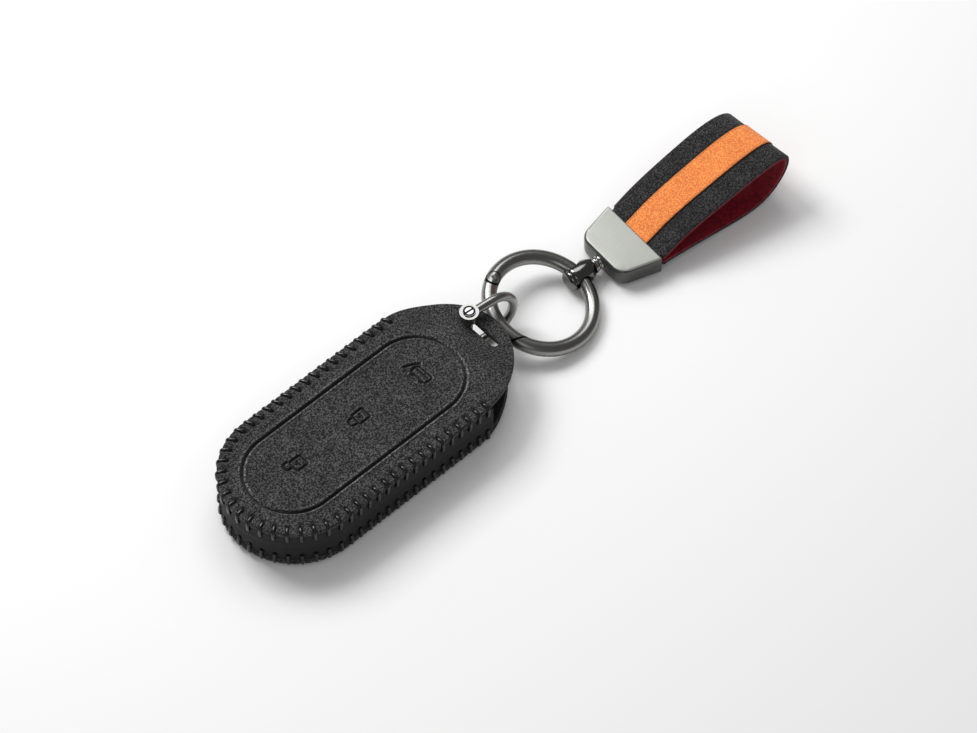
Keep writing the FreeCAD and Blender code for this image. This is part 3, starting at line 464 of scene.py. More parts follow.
def smooth_leather(name, tint, rough, pattern=PORES):
    """Smooth leather with fine pores, or with the thin layers of a cut edge."""
    material, tree, main = shader(name)
    pores = grain(tree, pattern)
    tune(main, Base_Color=ramp(tree, pores, (0.35, shade(tint, 0.6)), (0.65, shade(tint, 1.35))), Roughness=rough,
         Specular_IOR_Level=0.35, Normal=relief(tree, pores, 0.4, 0.0001))
    return material


def waxed_thread(name, tint):
    """Waxed thread: fine twist lines and a soft shine."""
    material, tree, main = shader(name)
    twist = grain(tree, TWIST)
    tune(main, Base_Color=ramp(tree, twist, (0.4, tint), (0.7, shade(tint, 2.6))), Roughness=0.3,
         Specular_IOR_Level=0.3, Coat_Weight=0.35, Coat_Roughness=0.08, Normal=relief(tree, twist, 0.25, 0.0001))
    return material


def metal(name, tint, rough):
    """Plated metal: the roughness drifts between two values, with faint hairlines."""
    material, tree, main = shader(name)
    tune(main, Base_Color=(*tint, 1.0), Metallic=1.0, Roughness=remap(tree, grain(tree, PLATING), 0.3, 0.7, *rough),
         Normal=relief(tree, grain(tree, HAIRLINES, 2.0), 0.01, 0.00002))
    return material


def ringed(name, tint, rough, pin, way, reach, dark, *gaps):
    """Plated metal with painted shade in gaps round a pin's line, each given by the distances of its four edges from
    it.
    """
    material = metal(name, tint, rough)
    tree = material.node_tree
    arm = vectors(tree, "SUBTRACT", own_place(tree), pin)
    far = vectors(tree, "LENGTH", vectors(tree, "CROSS_PRODUCT", arm, way))
    stops = [(edge / reach, tone) for gap in gaps for edge, tone in zip(gap, (tint, grey(dark), grey(dark), tint))]
    tone = ramp(tree, remap(tree, far, 0.0, reach * MM), (0.0, tint), *stops)
    tune(tree.nodes["Principled BSDF"], Base_Color=tone)
    return material


def clasp_metal(name, dark, satin, top):
    """Cast metal: dark towards the sides, lighter and rougher towards the top of the piece."""
    material, tree, main = shader(name)
    height = node(tree, "ShaderNodeSeparateXYZ", Vector=own_place(tree)).outputs["Z"]
    upper = remap(tree, height, top - SATIN_END, top - SATIN_WHOLE)
    brushed = ramp(tree, grain(tree, BRUSHING, 2.0, 0.5), (0.3, shade(satin, 0.98)), (0.7, shade(satin, 1.02)))
    tune(main, Base_Color=blend_colours(tree, "MIX", upper, (*dark, 1.0), brushed), Metallic=0.4,
         Roughness=remap(tree, upper, 0.0, 1.0, 0.2, 0.42))
    return material


# The case, in millimetres

# Signs: bodies as (x, y, half length, half width, corner), straight runs as (x, y, x, y)
LOCK_BODY = (1.5, 0.0, 1.85, 1.75, 0.5)
KEYHOLE = ((1.5, -0.7, 1.5, 0.7), (0.9, 0.0, 1.5, 0.0))
KEYHOLE_THIN = 0.05
HOOP_END, HOOP_CENTRE, HOOP_RADIUS, HOOP_OPEN = -0.2, -1.35, 1.1, 1.2
CAR_BODY = (0.2, -1.0, 1.35, 2.8, 0.7)
CAR_RUNS = ((0.5, 0.9, 0.5, -2.9), (-1.7, 3.9, 0.4, 3.1), (0.4, 3.1, 2.3, 1.9))
WHEELS = ((-1.45, 0.6), (-1.45, -2.6))
WHEEL_RADIUS = 0.35
# Half width of a pressed line, then the place, the half width and the height of the lip beside it
GROOVE_LINE = (0.36, 0.8, 0.35, 0.12)
SIGN_LINE = (0.34, 0.62, 0.26, 0.08)
# Strength and half width of the dark in a pressed line: burnish and painted shade in the hollow
GROOVE_BURNISH_AND_SHADE, SIGN_BURNISH_AND_SHADE = (0.9, 0.3), (1.0, 0.44)
# Slopes of full painted shade and full painted highlight, highlight lost on a sign's line, slope step away from the
# lamp, its run
SHADE_SLOPE, HIGHLIGHT_SLOPE, SIGN_HIGHLIGHT_LOSS = 0.7, 0.8, 0.85
STEP_FROM_LAMP, SLOPE_RUN = (0.02, -0.035), 0.08
# Insets of the rows of points as (stop, step), steps of the columns, and where the columns are closer set
FRONT_ROWS = ((14.8, 0.14), (13.0, 0.6), (6.3, 0.16), (4.4, 0.4), (0.55, 0.2))
BACK_ROWS = ((5.0, 2.5), (0.55, 0.3))
LINING_ROWS = ((0.4, 1.5),)
UNDER_ROWS = (2.2, 6.0)
RIM_ROWS = 5
FRONT_STEP, FRONT_FINE, BACK_STEP, LINING_STEP = 0.46, 0.15, 0.6, 0.8
SIGN_REACH, SIGN_AHEAD = 4.2, 1.0
SIDE_SAMPLES, NOSE_RUN, BUTT_RUN = 4001, 36, 64
SLOT_OVERRUN, SLOT_STEPS = 4.0, 17
FACE_DEPTH = 1.0
# Dents of the stitches: half widths and depths at a hole and under a thread, and the thread's length
HOLE_WIDTH, HOLE_DEPTH, BED_WIDTH, BED_DEPTH, BED_REACH = 0.75, 0.5, 0.72, 0.34, 3.2
# Height of the suede between two threads, their pull on its edge, and how far from the edge each fades
PUFF, PUFF_SPREAD, PULL, PULL_SPREAD = 0.16, 4.5, 0.34, 1.2
# Dents in the band: way out of the holes, distance from the band's edges, half height and depth
BAND_REACH, BAND_DOWN, BAND_TALL, BAND_DENT = 2.6, 2.0, 0.7, 0.3
# Points of the band along a side, round the end, and up its face and its back
BAND_SIDE, BAND_END, BAND_FACE, BAND_BACK = 110, 150, 40, 12
# Waves of the band's pressed layers and their height, then depth and half height of its soft edges
LAYER_COUNT, LAYER_HEIGHT, SOFT_DEPTH, SOFT_TALL = 3, 0.06, 0.22, 0.5
# Route of a stitch: (way out of the hole, height over the front), then (way past the edge, height over the front)
OVER_FACE = ((-0.15, -1.4), (-0.08, -0.6), (0.25, 0.14), (1.0, 0.12))
OVER_EDGE = ((-0.6, 0.06), (0.02, -0.3), (0.18, -1.1), (0.1, -2.3), (0.02, -3.3), (-0.3, -4.0), (-1.2, -4.1))
THREAD_ROWS, THREAD_SIDES = 15, 8


def stadium(x, y, half, radius):
    """Distance from a line of two straight runs and two half rounds."""
    return np.abs(np.hypot(np.maximum(np.abs(x) - half, 0), y) - radius)


def framed(x, y, middle_x, middle_y, half_x, half_y, corner):
    """Distance from the rim of a rectangle with round corners."""
    a = np.abs(x - middle_x) - half_x + corner
    b = np.abs(y - middle_y) - half_y + corner
    return np.abs(np.hypot(np.maximum(a, 0), np.maximum(b, 0)) + np.minimum(np.maximum(a, b), 0) - corner)


def run(x, y, ax, ay, bx, by):
    """Distance from a straight run between two points."""
    share = np.clip(((x - ax) * (bx - ax) + (y - ay) * (by - ay)) / ((bx - ax) ** 2 + (by - ay) ** 2), 0, 1)
    return np.hypot(x - ax - share * (bx - ax), y - ay - share * (by - ay))


def lock_sign(x, y, side):
    """Distance from a lock: a framed body with a keyhole bar and a hoop on its butt side."""
    key = np.minimum.reduce([run(x, y, *ends) for ends in KEYHOLE]) + KEYHOLE_THIN
    hoop = np.abs(np.hypot(np.minimum(x - HOOP_CENTRE, 0), y - side) - HOOP_RADIUS)
    return np.minimum.reduce([framed(x, y, *LOCK_BODY), np.where(x < HOOP_END, hoop, np.inf), key])


def car_sign(x, y):
    """Distance from a car seen from its side, with its lid up, a window line and two wheels."""
    wheels = np.minimum.reduce([np.hypot(x - wx, y - wy) for wx, wy in WHEELS]) - WHEEL_RADIUS
    runs = [run(x, y, *ends) for ends in CAR_RUNS]
    return np.minimum.reduce([framed(x, y, *CAR_BODY), np.maximum(wheels, 0), *runs])


def mark_lines(c, x, y):
    """Distances from the pressed line and from the nearest line of a sign."""
    px = x - c.sign_shift
    py = y - c.sign_side
    signs = [lock_sign(px + c.sign_spacing, py, HOOP_OPEN), lock_sign(px, py, 0.0),
             car_sign(px - c.sign_spacing, py)]
    return stadium(x, y, c.groove_half, c.groove_radius), np.minimum.reduce(signs)


def pressed(distance, depth, width, lip_place, lip_width, lip_height):
    """A hollow along a line, with a soft lip beside it: one hill less another."""
    return lip_height * hill(distance - lip_place, lip_width) - depth * hill(distance, width)


def front_marks(c, x, y):
    """Height of the pressed line and the signs over the front face."""
    line, signs = mark_lines(c, x, y)
    return pressed(line, c.groove_depth, *GROOVE_LINE) + pressed(signs, c.sign_depth, *SIGN_LINE)


def stitch_places(c, s):
    """Holes of the stitches, the ways over the edge and their leans: one side, the butt end, the other side."""
    radius = c.half_width - s.inset
    along = (np.arange(s.side_count) + 0.5) * s.pitch - c.butt_centre
    turn = np.pi / 2 + np.pi * (np.arange(s.end_count) + 0.5) / s.end_count
    x = np.concatenate([along[::-1], radius * np.cos(turn) - c.butt_centre, along])
    y = np.concatenate([np.full(s.side_count, radius), radius * np.sin(turn), np.full(s.side_count, -radius)])
    facing = np.concatenate([np.full(s.side_count, np.pi / 2), turn, np.full(s.side_count, 3 * np.pi / 2)])
    slant = s.left_slant + (s.right_slant - s.left_slant) * (facing - np.pi / 2) / np.pi
    return x, y, facing, slant


def stitch_bed(c, s, x, y):
    """Two hills at each point: over the nearest hole, and along the nearest thread to the edge."""
    hx, hy, facing, slant = stitch_places(c, s)
    way = facing + slant
    dx = x[..., None] - hx
    dy = y[..., None] - hy
    out = np.clip(dx * np.cos(way) + dy * np.sin(way), 0, BED_REACH / np.cos(slant))
    bed = np.hypot(dx - out * np.cos(way), dy - out * np.sin(way)).min(axis=-1)
    return hill(np.hypot(dx, dy).min(axis=-1), HOLE_WIDTH), hill(bed, BED_WIDTH)


def columns(c, step, fine):
    """Spine points and edge points round the panel; the sides are closer set where the signs lie."""
    x = np.linspace(-c.butt_centre, c.nose_centre, SIDE_SAMPLES)
    dense = np.full(x.shape, 1 / step)
    for place in (-c.sign_spacing, 0, c.sign_spacing):
        dense[np.abs(x - c.sign_shift - place - SIGN_AHEAD) < SIGN_REACH] = 1 / fine
    count = np.concatenate([[0], np.cumsum((dense[1:] + dense[:-1]) / 2 * np.diff(x))])
    side = np.interp(np.linspace(0, count[-1], int(count[-1]) + 1), count, x)
    quarter = np.linspace(0, np.pi / 2, int(NOSE_RUN / step) + 1)
    half = np.linspace(np.pi / 2, 3 * np.pi / 2, int(BUTT_RUN / step) + 1)
    nose = pairs(c.nose_length * np.cos(quarter), c.half_width * np.sin(quarter))
    butt = c.half_width * pairs(np.cos(half), np.sin(half))
    centre, end = [c.nose_centre, 0.0], [-c.butt_centre, 0.0]
    pole = np.tile(centre, (len(quarter) - 1, 1))
    spine = [pole, pairs(side[:0:-1], 0.0), np.tile(end, (len(half) - 1, 1)), pairs(side[:-1], 0.0), pole]
    edge = [centre + nose[:-1], pairs(side[:0:-1], c.half_width), end + butt[:-1],
            pairs(side[:-1], -c.half_width), centre + nose[:0:-1] * [1, -1]]
    return np.concatenate(spine), np.concatenate(edge)


def level(c, side, x):
    """Height of the face on the front side, 1, or the back side, -1: even, then eased to its flap."""
    bend = ease(x, c.bend_start - c.bend_soft, c.bend_end + c.bend_soft)
    return c.height - c.front_drop * bend if side > 0 else c.back_rise * bend


def spaced(start, runs):
    """Insets from a start to each run's stop in that run's steps."""
    starts = (start, *(stop for stop, _ in runs))
    return np.concatenate([np.arange(first, stop, -step) for first, (stop, step) in zip(starts, runs)])


def panel(name, c, side, thick, runs, step, fine=None, marks=None, s=None, sunk=0.0, shrink=0.0):
    """A sheet from its spine to its edge, round the rim and back underneath, with the slot cut out.

    Rows are insets from the edge, columns run round the outline. The outer face follows the level plus
    the marks, sinks at the stitch holes and along the threads, and the rim is a half round of the
    sheet's thickness that each thread draws in.
    """
    spine, edge = columns(c, step, fine or step)
    rows = spaced(c.half_width, runs)
    turn = np.linspace(0, np.pi / 2, RIM_ROWS)
    rim = min(c.rim, thick / 2)
    round_in = rim * (1 - np.sin(turn))
    round_down = rim * (1 - np.cos(turn))
    under = np.array([*UNDER_ROWS, c.half_width])
    inset = np.concatenate([rows, round_in, round_in[::-1], under]) + shrink
    depth = np.concatenate([np.zeros(len(rows)), round_down, thick - round_down[::-1], np.full(len(under), thick)])
    weight = np.concatenate([np.ones(len(rows)), 1 - round_down / rim, np.zeros(len(turn) + len(under))])
    share = np.clip(1 - inset / c.half_width, 0, 1)
    xy = spine + share[:, None, None] * (edge - spine)
    x, y = xy[..., 0], xy[..., 1]
    height = marks(c, x, y) if marks else np.zeros(x.shape)
    if s:
        hole, bed = stitch_bed(c, s, x, y)
        near = np.clip(1 - inset / PUFF_SPREAD, 0, 1)[:, None]
        height = height - np.sqrt(near) * (HOLE_DEPTH * hole + BED_DEPTH * bed) + PUFF * near * (1 - bed)
        pull = PULL * bed * np.clip(1 - inset / PULL_SPREAD, 0, 1)[:, None] / c.half_width
        xy = xy - pull[..., None] * (edge - spine)
    z = level(c, side, x) + side * (height * weight[:, None] - depth[:, None] - sunk)
    points = np.concatenate([xy, z[..., None]], axis=-1)
    made = put_mesh(name, points, grid_faces(len(inset), len(spine)).tolist())
    carve(made, slot_tool(c))
    return made


def slot_tool(c):
    """The room of the slot: a prism with two half rounds."""
    turn = np.linspace(0, np.pi, SLOT_STEPS)
    upper = [c.slot_centre, c.slot_half] + c.slot_radius * pairs(np.cos(turn), np.sin(turn))
    ring = np.concatenate([upper, np.array([2 * c.slot_centre, 0]) - upper])
    ends = [np.insert(ring, 2, z, axis=1) for z in (-SLOT_OVERRUN, c.height + SLOT_OVERRUN)]
    return tubes("slot_tool", np.stack(ends)[None])


class FOB_OT_panels(Operator):
    """Make the suede front and back panels"""

    bl_idname = "fob.panels"
    bl_label = "Panels"

    def execute(self, context):
        """Make both sheets; paint burnish and painted shade in the front's lines, painted shade in holes and steep
        falls from the lamp, and a painted highlight on steep rises.
        """
        scene = context.scene
        c, s = in_mm(scene.fob_case), in_mm(scene.fob_stitch)
        looks = scene.fob_finish
        cloth = suede("charcoal_suede", tuple(looks.suede_dark), tuple(looks.suede_light))
        front = panel("front_suede", c, 1, c.leather, FRONT_ROWS, FRONT_STEP, FRONT_FINE, front_marks, s)
        x, y, z = corners(front)
        line, signs = mark_lines(c, x, y)
        hole, _ = stitch_bed(c, s, x, y)
        # Slopes are read away from the window lamp: falls are painted shade, rises a painted highlight.
        dx, dy = STEP_FROM_LAMP
        slope = (front_marks(c, x - dx, y - dy) - front_marks(c, x + dx, y + dy)) / SLOPE_RUN
        lines = [strength * hill(far, width) for far, (strength, width) in ((line, GROOVE_BURNISH_AND_SHADE), (signs, SIGN_BURNISH_AND_SHADE))]
        dark = np.maximum.reduce([*lines, np.clip(slope / SHADE_SLOPE, 0, 1), hole])
        light = np.clip(-slope / HIGHLIGHT_SLOPE, 0, 1) * (1 - SIGN_HIGHLIGHT_LOSS * hill(signs, SIGN_LINE[0]))
        top = z > level(c, 1, x) - FACE_DEPTH
        # Painted shade with burnish, and the painted highlight, go on the top face only.
        paint(front, "pressed", np.where(top, dark, 0.0))
        paint(front, "painted_highlight", np.where(top, light, 0.0))
        fit(front, "case", "front_panel", cloth)
        c.nose_length -= c.back_short
        back = panel("back_suede", c, -1, c.leather, BACK_ROWS, BACK_STEP, s=s)
        fit(back, "case", "back_panel", cloth)
        return {"FINISHED"}


class FOB_OT_linings(Operator):
    """Make the linings glued inside the panels"""

    bl_idname = "fob.linings"
    bl_label = "Linings"

    def execute(self, context):
        c = in_mm(context.scene.fob_case)
        leather = smooth_leather("dark_lining", tuple(context.scene.fob_finish.lining), 0.55)
        sheet = {"thick": c.lining, "runs": LINING_ROWS, "step": LINING_STEP, "sunk": c.leather + c.glue,
                 "shrink": c.lining_inset}
        front = panel("front_lining_sheet", c, 1, **sheet)
        c.nose_length -= c.back_short
        back = panel("back_lining_sheet", c, -1, **sheet)
        fit(front, "case", "front_lining", leather)
        fit(back, "case", "back_lining", leather)
        return {"FINISHED"}


class FOB_OT_band(Operator):
    """Make the band sewn between the panels"""

    bl_idname = "fob.band"
    bl_label = "Side band"

    def execute(self, context):
        """Carry a section with soft corners and pressed layers round the sides and the butt end."""
        scene = context.scene
        c, s = in_mm(scene.fob_case), in_mm(scene.fob_stitch)
        radius = c.half_width - c.band_inset
        side = np.linspace(c.bend_start, -c.butt_centre, BAND_SIDE)
        half = np.linspace(np.pi / 2, 3 * np.pi / 2, BAND_END)[1:-1]
        base = pairs(np.concatenate([side, np.full(len(half), -c.butt_centre), side[::-1]]), 0.0)
        way = np.concatenate([np.full(BAND_SIDE, np.pi / 2), half, np.full(BAND_SIDE, 3 * np.pi / 2)])
        low, high = c.leather + c.lining, c.height - c.leather - c.lining
        z = np.linspace(low, high, BAND_FACE)
        face = LAYER_HEIGHT * np.cos(2 * np.pi * LAYER_COUNT * (z - low) / (high - low))
        face -= SOFT_DEPTH * (hill(z - low, SOFT_TALL) + hill(z - high, SOFT_TALL))
        section_r = np.concatenate([radius + face, np.full(BAND_BACK, radius - c.band)])
        section_z = np.concatenate([z, np.linspace(high, low, BAND_BACK)])
        out = pairs(np.cos(way), np.sin(way))[:, None]
        xy = base[:, None] + section_r[:, None] * out
        hx, hy, facing, slant = stitch_places(c, s)
        reach = BAND_REACH / np.cos(slant)
        ex, ey = hx + reach * np.cos(facing + slant), hy + reach * np.sin(facing + slant)
        near = np.hypot(xy[..., 0, None] - ex, xy[..., 1, None] - ey).min(axis=-1)
        rows = np.maximum(hill(section_z - high + BAND_DOWN, BAND_TALL),
                          hill(section_z - low - BAND_DOWN, BAND_TALL))
        outside = section_r > radius - c.band / 2
        xy = xy - (BAND_DENT * hill(near, HOLE_WIDTH) * rows * outside)[..., None] * out
        up = np.broadcast_to(section_z[:, None], (*xy.shape[:2], 1))
        band = tubes("edge_band", np.concatenate([xy, up], axis=-1)[None])
        leather = smooth_leather("black_edge", tuple(scene.fob_finish.edge), 0.7, CUT_LAYERS)
        fit(band, "case", "side_band", leather)
        return {"FINISHED"}


class FOB_OT_stitches(Operator):
    """Make the whip stitches over both edges"""

    bl_idname = "fob.stitches"
    bl_label = "Stitches"

    def execute(self, context):
        """Carry an oval section along each stitch's spline; the back row is the front row upside down."""
        scene = context.scene
        c, s = in_mm(scene.fob_case), in_mm(scene.fob_stitch)
        route = np.concatenate([OVER_FACE, np.add(OVER_EDGE, [s.inset, 0])]) + [0, c.height]
        curve, normal = spline(route, THREAD_ROWS)
        turn = np.arange(THREAD_SIDES) * 2 * np.pi / THREAD_SIDES
        along, up = (curve[:, k, None] + s.thick * np.sin(turn) * normal[:, k, None] for k in (0, 1))
        across = s.width * np.cos(turn)
        hx, hy, facing, slant = (v[:, None, None] for v in stitch_places(c, s))
        way = facing + slant
        out = along / np.cos(slant)
        x = hx + out * np.cos(way) - across * np.sin(way)
        y = hy + out * np.sin(way) + across * np.cos(way)
        z = np.broadcast_to(up, x.shape)
        thread = waxed_thread("black_thread", tuple(scene.fob_finish.thread))
        rows = (("front_stitches", "front_thread", z), ("back_stitches", "back_thread", c.height - z))
        for name, target, height in rows:
            fit(tubes(name, np.stack([x, y, height], axis=-1)), "case", target, thread)
        return {"FINISHED"}


# Metal and strap, in millimetres

# Painted shade in the gaps of the gate and round the screw's head: distances of their edges from the pin, how far it
# is read, tones
RING_GAP, GATE_GAP, LATCH_GAP = (1.76, 1.8, 2.1, 2.14), (1.86, 1.9, 2.4, 2.44), (19.16, 19.2, 19.8, 19.84)
SCREW_GAP = (1.075, 1.18, 1.6625, 1.75)
RING_REACH, RING_GAP_SHADE, SCREW_REACH, SCREW_GAP_SHADE = 20.0, 0.008, 1.75, 0.01
# Turned profiles: (place on the axis, radius)
YOKE_PROFILE = (
    (-4.1, 0.1), (-4.05, 0.9), (-3.92, 1.6), (-3.7, 2.2), (-3.4, 2.68), (-3.0, 3.0), (-2.6, 3.1), (-2.4, 3.02),
    (-2.3, 2.92), (-2.2, 3.05), (-1.9, 3.3), (-1.2, 3.4), (0.6, 3.4), (1.8, 3.36), (2.8, 3.24), (3.7, 3.0),
    (4.4, 2.68), (4.8, 2.4), (4.95, 2.2), (5.0, 1.9), (5.0, 0.4))
STEM_PROFILE = (
    (4.2, 0.3), (4.2, 1.2), (5.5, 1.2), (5.6, 1.75), (5.75, 2.0), (6.05, 2.1), (6.35, 2.0), (6.5, 1.75),
    (6.6, 1.6), (6.75, 1.6), (6.9, 1.85), (7.1, 2.02), (7.4, 2.08), (7.7, 2.02), (7.9, 1.85), (8.0, 1.65),
    (8.15, 1.6), (8.35, 1.75), (8.6, 2.0), (9.0, 2.1), (9.5, 2.1), (9.5, 0.3))
YOKE_STEPS, STEM_STEPS, BORE_STEPS, SCREW_STEPS = 64, 48, 40, 24
BORE_HALF, BORE_ROWS = 4.6, 15
# Spacing of points in a corner, rows of an edge, and how far the caps lie inside the edge
CORNER_STEP, EDGE_ROWS, CAP_INSET = 0.35, 7, 0.25
# Share of the rounding that stays at the mouth and how near it is, and where the bevel fades after the stem
MOUTH_SHARE, MOUTH_NEAR, BEVEL_FADE = 0.35, 0.6, (1.5, 4.5)
# Overruns of the cuts, and the share of the mouth's width at its bottom
MOUTH_OVERRUN, SCREW_OVERRUN, MOUTH_BOTTOM = 1.0, 0.1, 0.92
BOX_SIDES = [(0, 1, 3, 2), (4, 6, 7, 5), (0, 4, 5, 1), (2, 3, 7, 6), (0, 2, 6, 4), (1, 5, 7, 3)]
# Edges of the loop: (way from the mouth, height), from the upper tail round to the lower one
UPPER_TAIL = ((-6.0, 4.7), (-3.0, 4.7), (-0.4, 4.75))
LOWER_TAIL = ((35.6, -0.3), (29.7, -0.75), (23.0, -0.2), (16.0, 0.5), (9.0, 1.05), (3.0, 1.3), (-0.4, 1.32),
              (-3.0, 1.32), (-6.0, 1.32))
NEAR_EDGE = (*UPPER_TAIL, (1.6, 5.6), (5.0, 7.6), (9.0, 9.5), (14.0, 11.1), (20.6, 12.6), (27.6, 14.3), (34.0, 15.8),
             (39.5, 16.6), (43.6, 16.6), (45.6, 14.2), (45.2, 9.8), (43.0, 5.6), (40.0, 2.2), *LOWER_TAIL)
FAR_EDGE = (*UPPER_TAIL, (1.6, 5.7), (5.0, 7.9), (9.0, 9.9), (14.0, 11.9), (20.0, 13.9), (25.5, 15.7), (30.5, 16.9),
            (35.0, 17.3), (39.0, 16.8), (42.2, 14.6), (43.6, 10.6), (42.3, 6.0), (39.6, 2.4), *LOWER_TAIL)
LOOP_ROWS, STRAP_POINTS, STRAP_EDGE_POINTS = 190, 15, 4
# Taper of the tails in the clasp, and how far before the mouth they are held to it
TAIL_TAPER, TAIL_REACH = 0.278, 1.2
# Points beside the stripe's edge, and place and half width of the painted shade there
STRIPE_SHADE_POINTS = (-0.1, 0.1, 0.3, 0.5, 0.75)
STRIPE_SHADE_PLACE, STRIPE_SHADE_WIDTH = 0.15, 0.3


def turned(name, profile, middle, axis, steps):
    """A turned piece: rows of (place on the axis, radius) carried round an axis through a middle."""
    axis = np.array(axis, float)
    axis /= np.linalg.norm(axis)
    side = np.cross(axis, [1.0, 0.0, 0.0] if abs(axis[2]) > 0.9 else UP)
    side /= np.linalg.norm(side)
    turn = np.arange(steps) * 2 * np.pi / steps
    ring = np.cos(turn)[:, None] * side + np.sin(turn)[:, None] * np.cross(side, axis)
    place, radius = np.array(profile, float).T[..., None, None]
    return tubes(name, (middle + place * axis + radius * ring)[None])


def rounded(outline, radii):
    """A closed outline through corners, each rounded by its radius, with its outward normals."""
    outline = np.array(outline, float)
    points, normals = [], []
    for k, (corner, radius) in enumerate(zip(outline, radii)):
        to_last = outline[k - 1] - corner
        to_next = outline[(k + 1) % len(outline)] - corner
        to_last /= np.linalg.norm(to_last)
        to_next /= np.linalg.norm(to_next)
        half = math.acos(np.clip(to_last @ to_next, -1, 1)) / 2
        inward = (to_last + to_next) / np.linalg.norm(to_last + to_next)
        centre = corner + inward * radius / math.sin(half)
        span = np.pi / 2 - half
        count = max(3, int(2 * span * radius / CORNER_STEP) + 1)
        turn = math.atan2(-inward[1], -inward[0]) + np.linspace(-span, span, count)
        away = pairs(np.cos(turn), np.sin(turn))
        points.append(centre + radius * away)
        normals.append(away)
    return np.concatenate(points), np.concatenate(normals)


class FOB_OT_metal(Operator):
    """Give the shackle and the ring their finishes, and make the swivel and the clasp"""

    bl_idname = "fob.metal"
    bl_label = "Metal"

    def execute(self, context):
        """Coat and turn the pieces; the bore's radius grows with the square of the way from its waist."""
        scene = context.scene
        looks = scene.fob_finish
        w = in_mm(scene.fob_swivel)
        tint, steel = tuple(looks.nickel), tuple(looks.steel)
        nickel = metal("dark_nickel", tint, NICKEL_ROUGH)
        bright = metal("polished_steel", steel, STEEL_ROUGH)
        plain = metal("spring_steel", tuple(looks.spring), SPRING_ROUGH)
        # The ring, the gate and the screw get painted shade in their gaps.
        hinge = (tint, NICKEL_ROUGH, w.rivet * MM, w.ring_way, RING_REACH, RING_GAP_SHADE)
        screw = ringed("screw_steel", steel, STEEL_ROUGH, scene.fob_case.pin, UP, SCREW_REACH, SCREW_GAP_SHADE, SCREW_GAP)
        coats = {
            "shackle_bow": nickel,
            "ring_body": ringed("ring_nickel", *hinge, RING_GAP),
            "ring_gate": ringed("gate_nickel", *hinge, GATE_GAP, LATCH_GAP),
            "gate_rivet": bright,
            "shackle_screw": screw,
            "swivel_washer": nickel,
            "gate_spring": plain,
            "clasp_screws": plain,
        }
        for name, coat in coats.items():
            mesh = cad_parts[name].data
            mesh.materials.clear()
            mesh.materials.append(coat)
        along = np.array([math.cos(w.yaw), math.sin(w.yaw), 0.0])
        yoke = turned("yoke_barrel", YOKE_PROFILE, w.middle, along, YOKE_STEPS)
        place = np.linspace(-BORE_HALF, BORE_HALF, BORE_ROWS)
        bore = pairs(place, w.bore + (w.flare - w.bore) * (place / w.flare_half) ** 2)
        carve(yoke, turned("bore_tool", bore, w.middle, w.bore_way, BORE_STEPS))
        fit(yoke, "yoke", "swivel_yoke", metal("yoke_nickel", shade(tint, 0.55), YOKE_ROUGH))
        stem = turned("turned_stem", STEM_PROFILE, w.middle, along, STEM_STEPS)
        fit(stem, "strap", "swivel_stem", bright)
        shell = self.clasp(w, np.stack([along, np.cross(UP, along), UP]))
        alloy = clasp_metal("satin_alloy", shade(tint, 0.25), tuple(looks.satin), (w.middle[2] + w.clasp_half) * MM)
        fit(shell, "strap", "clasp_shell", alloy)
        return {"FINISHED"}

    def clasp(self, w, axes):
        """Carry a tapered outline with round corners up a section with round edges, and cut its holes."""
        outline = [(w.clasp_start, -w.clasp_narrow), (w.clasp_end, -w.clasp_wide),
                   (w.clasp_end, w.clasp_wide), (w.clasp_start, w.clasp_narrow)]
        plan, away = rounded(outline, [w.clasp_corner, w.mouth_corner, w.mouth_corner, w.clasp_corner])
        turn = np.linspace(0, np.pi / 2, EDGE_ROWS)
        edge_in = w.clasp_edge * (1 - np.sin(turn))
        edge_up = w.clasp_edge * (1 - np.cos(turn)) - w.clasp_half
        cap = [w.clasp_edge + CAP_INSET]
        inset = np.concatenate([cap, edge_in, edge_in[::-1], cap])[:, None]
        height = np.concatenate([[-w.clasp_half], edge_up, -edge_up[::-1], [w.clasp_half]])[:, None]
        inset = inset * np.where(plan[:, 0] > w.clasp_end - MOUTH_NEAR, MOUTH_SHARE, 1.0)
        front = 1 - ease(plan[:, 0] - w.clasp_start, *BEVEL_FADE)
        inset[-1] += w.bevel_width * front
        height = np.repeat(height, len(plan), axis=1)
        height[-1 - EDGE_ROWS:-1] -= w.bevel_drop * front
        points = np.concatenate([plan - inset[..., None] * away, height[..., None]], axis=-1)
        shell = tubes("clasp_casting", (w.middle + points @ axes)[None])
        room = np.array([(x, y, z) for x in (w.clasp_end - w.mouth_depth, w.clasp_end + MOUTH_OVERRUN)
                         for y in (-w.mouth_wide, w.mouth_wide) for z in (-w.mouth_half, w.mouth_half)])
        room[:4, 1] *= MOUTH_BOTTOM
        carve(shell, put_mesh("mouth_tool", w.middle + room @ axes, BOX_SIDES))
        hole = ((-w.clasp_half - MOUTH_OVERRUN, w.screw_radius), (SCREW_OVERRUN - w.mouth_half, w.screw_radius))
        for side in (-w.screw_half, w.screw_half):
            foot = w.middle + np.array([w.clasp_end - w.screw_back, side, 0.0]) @ axes
            carve(shell, turned("screw_tool", hole, foot, UP, SCREW_STEPS))
        return shell


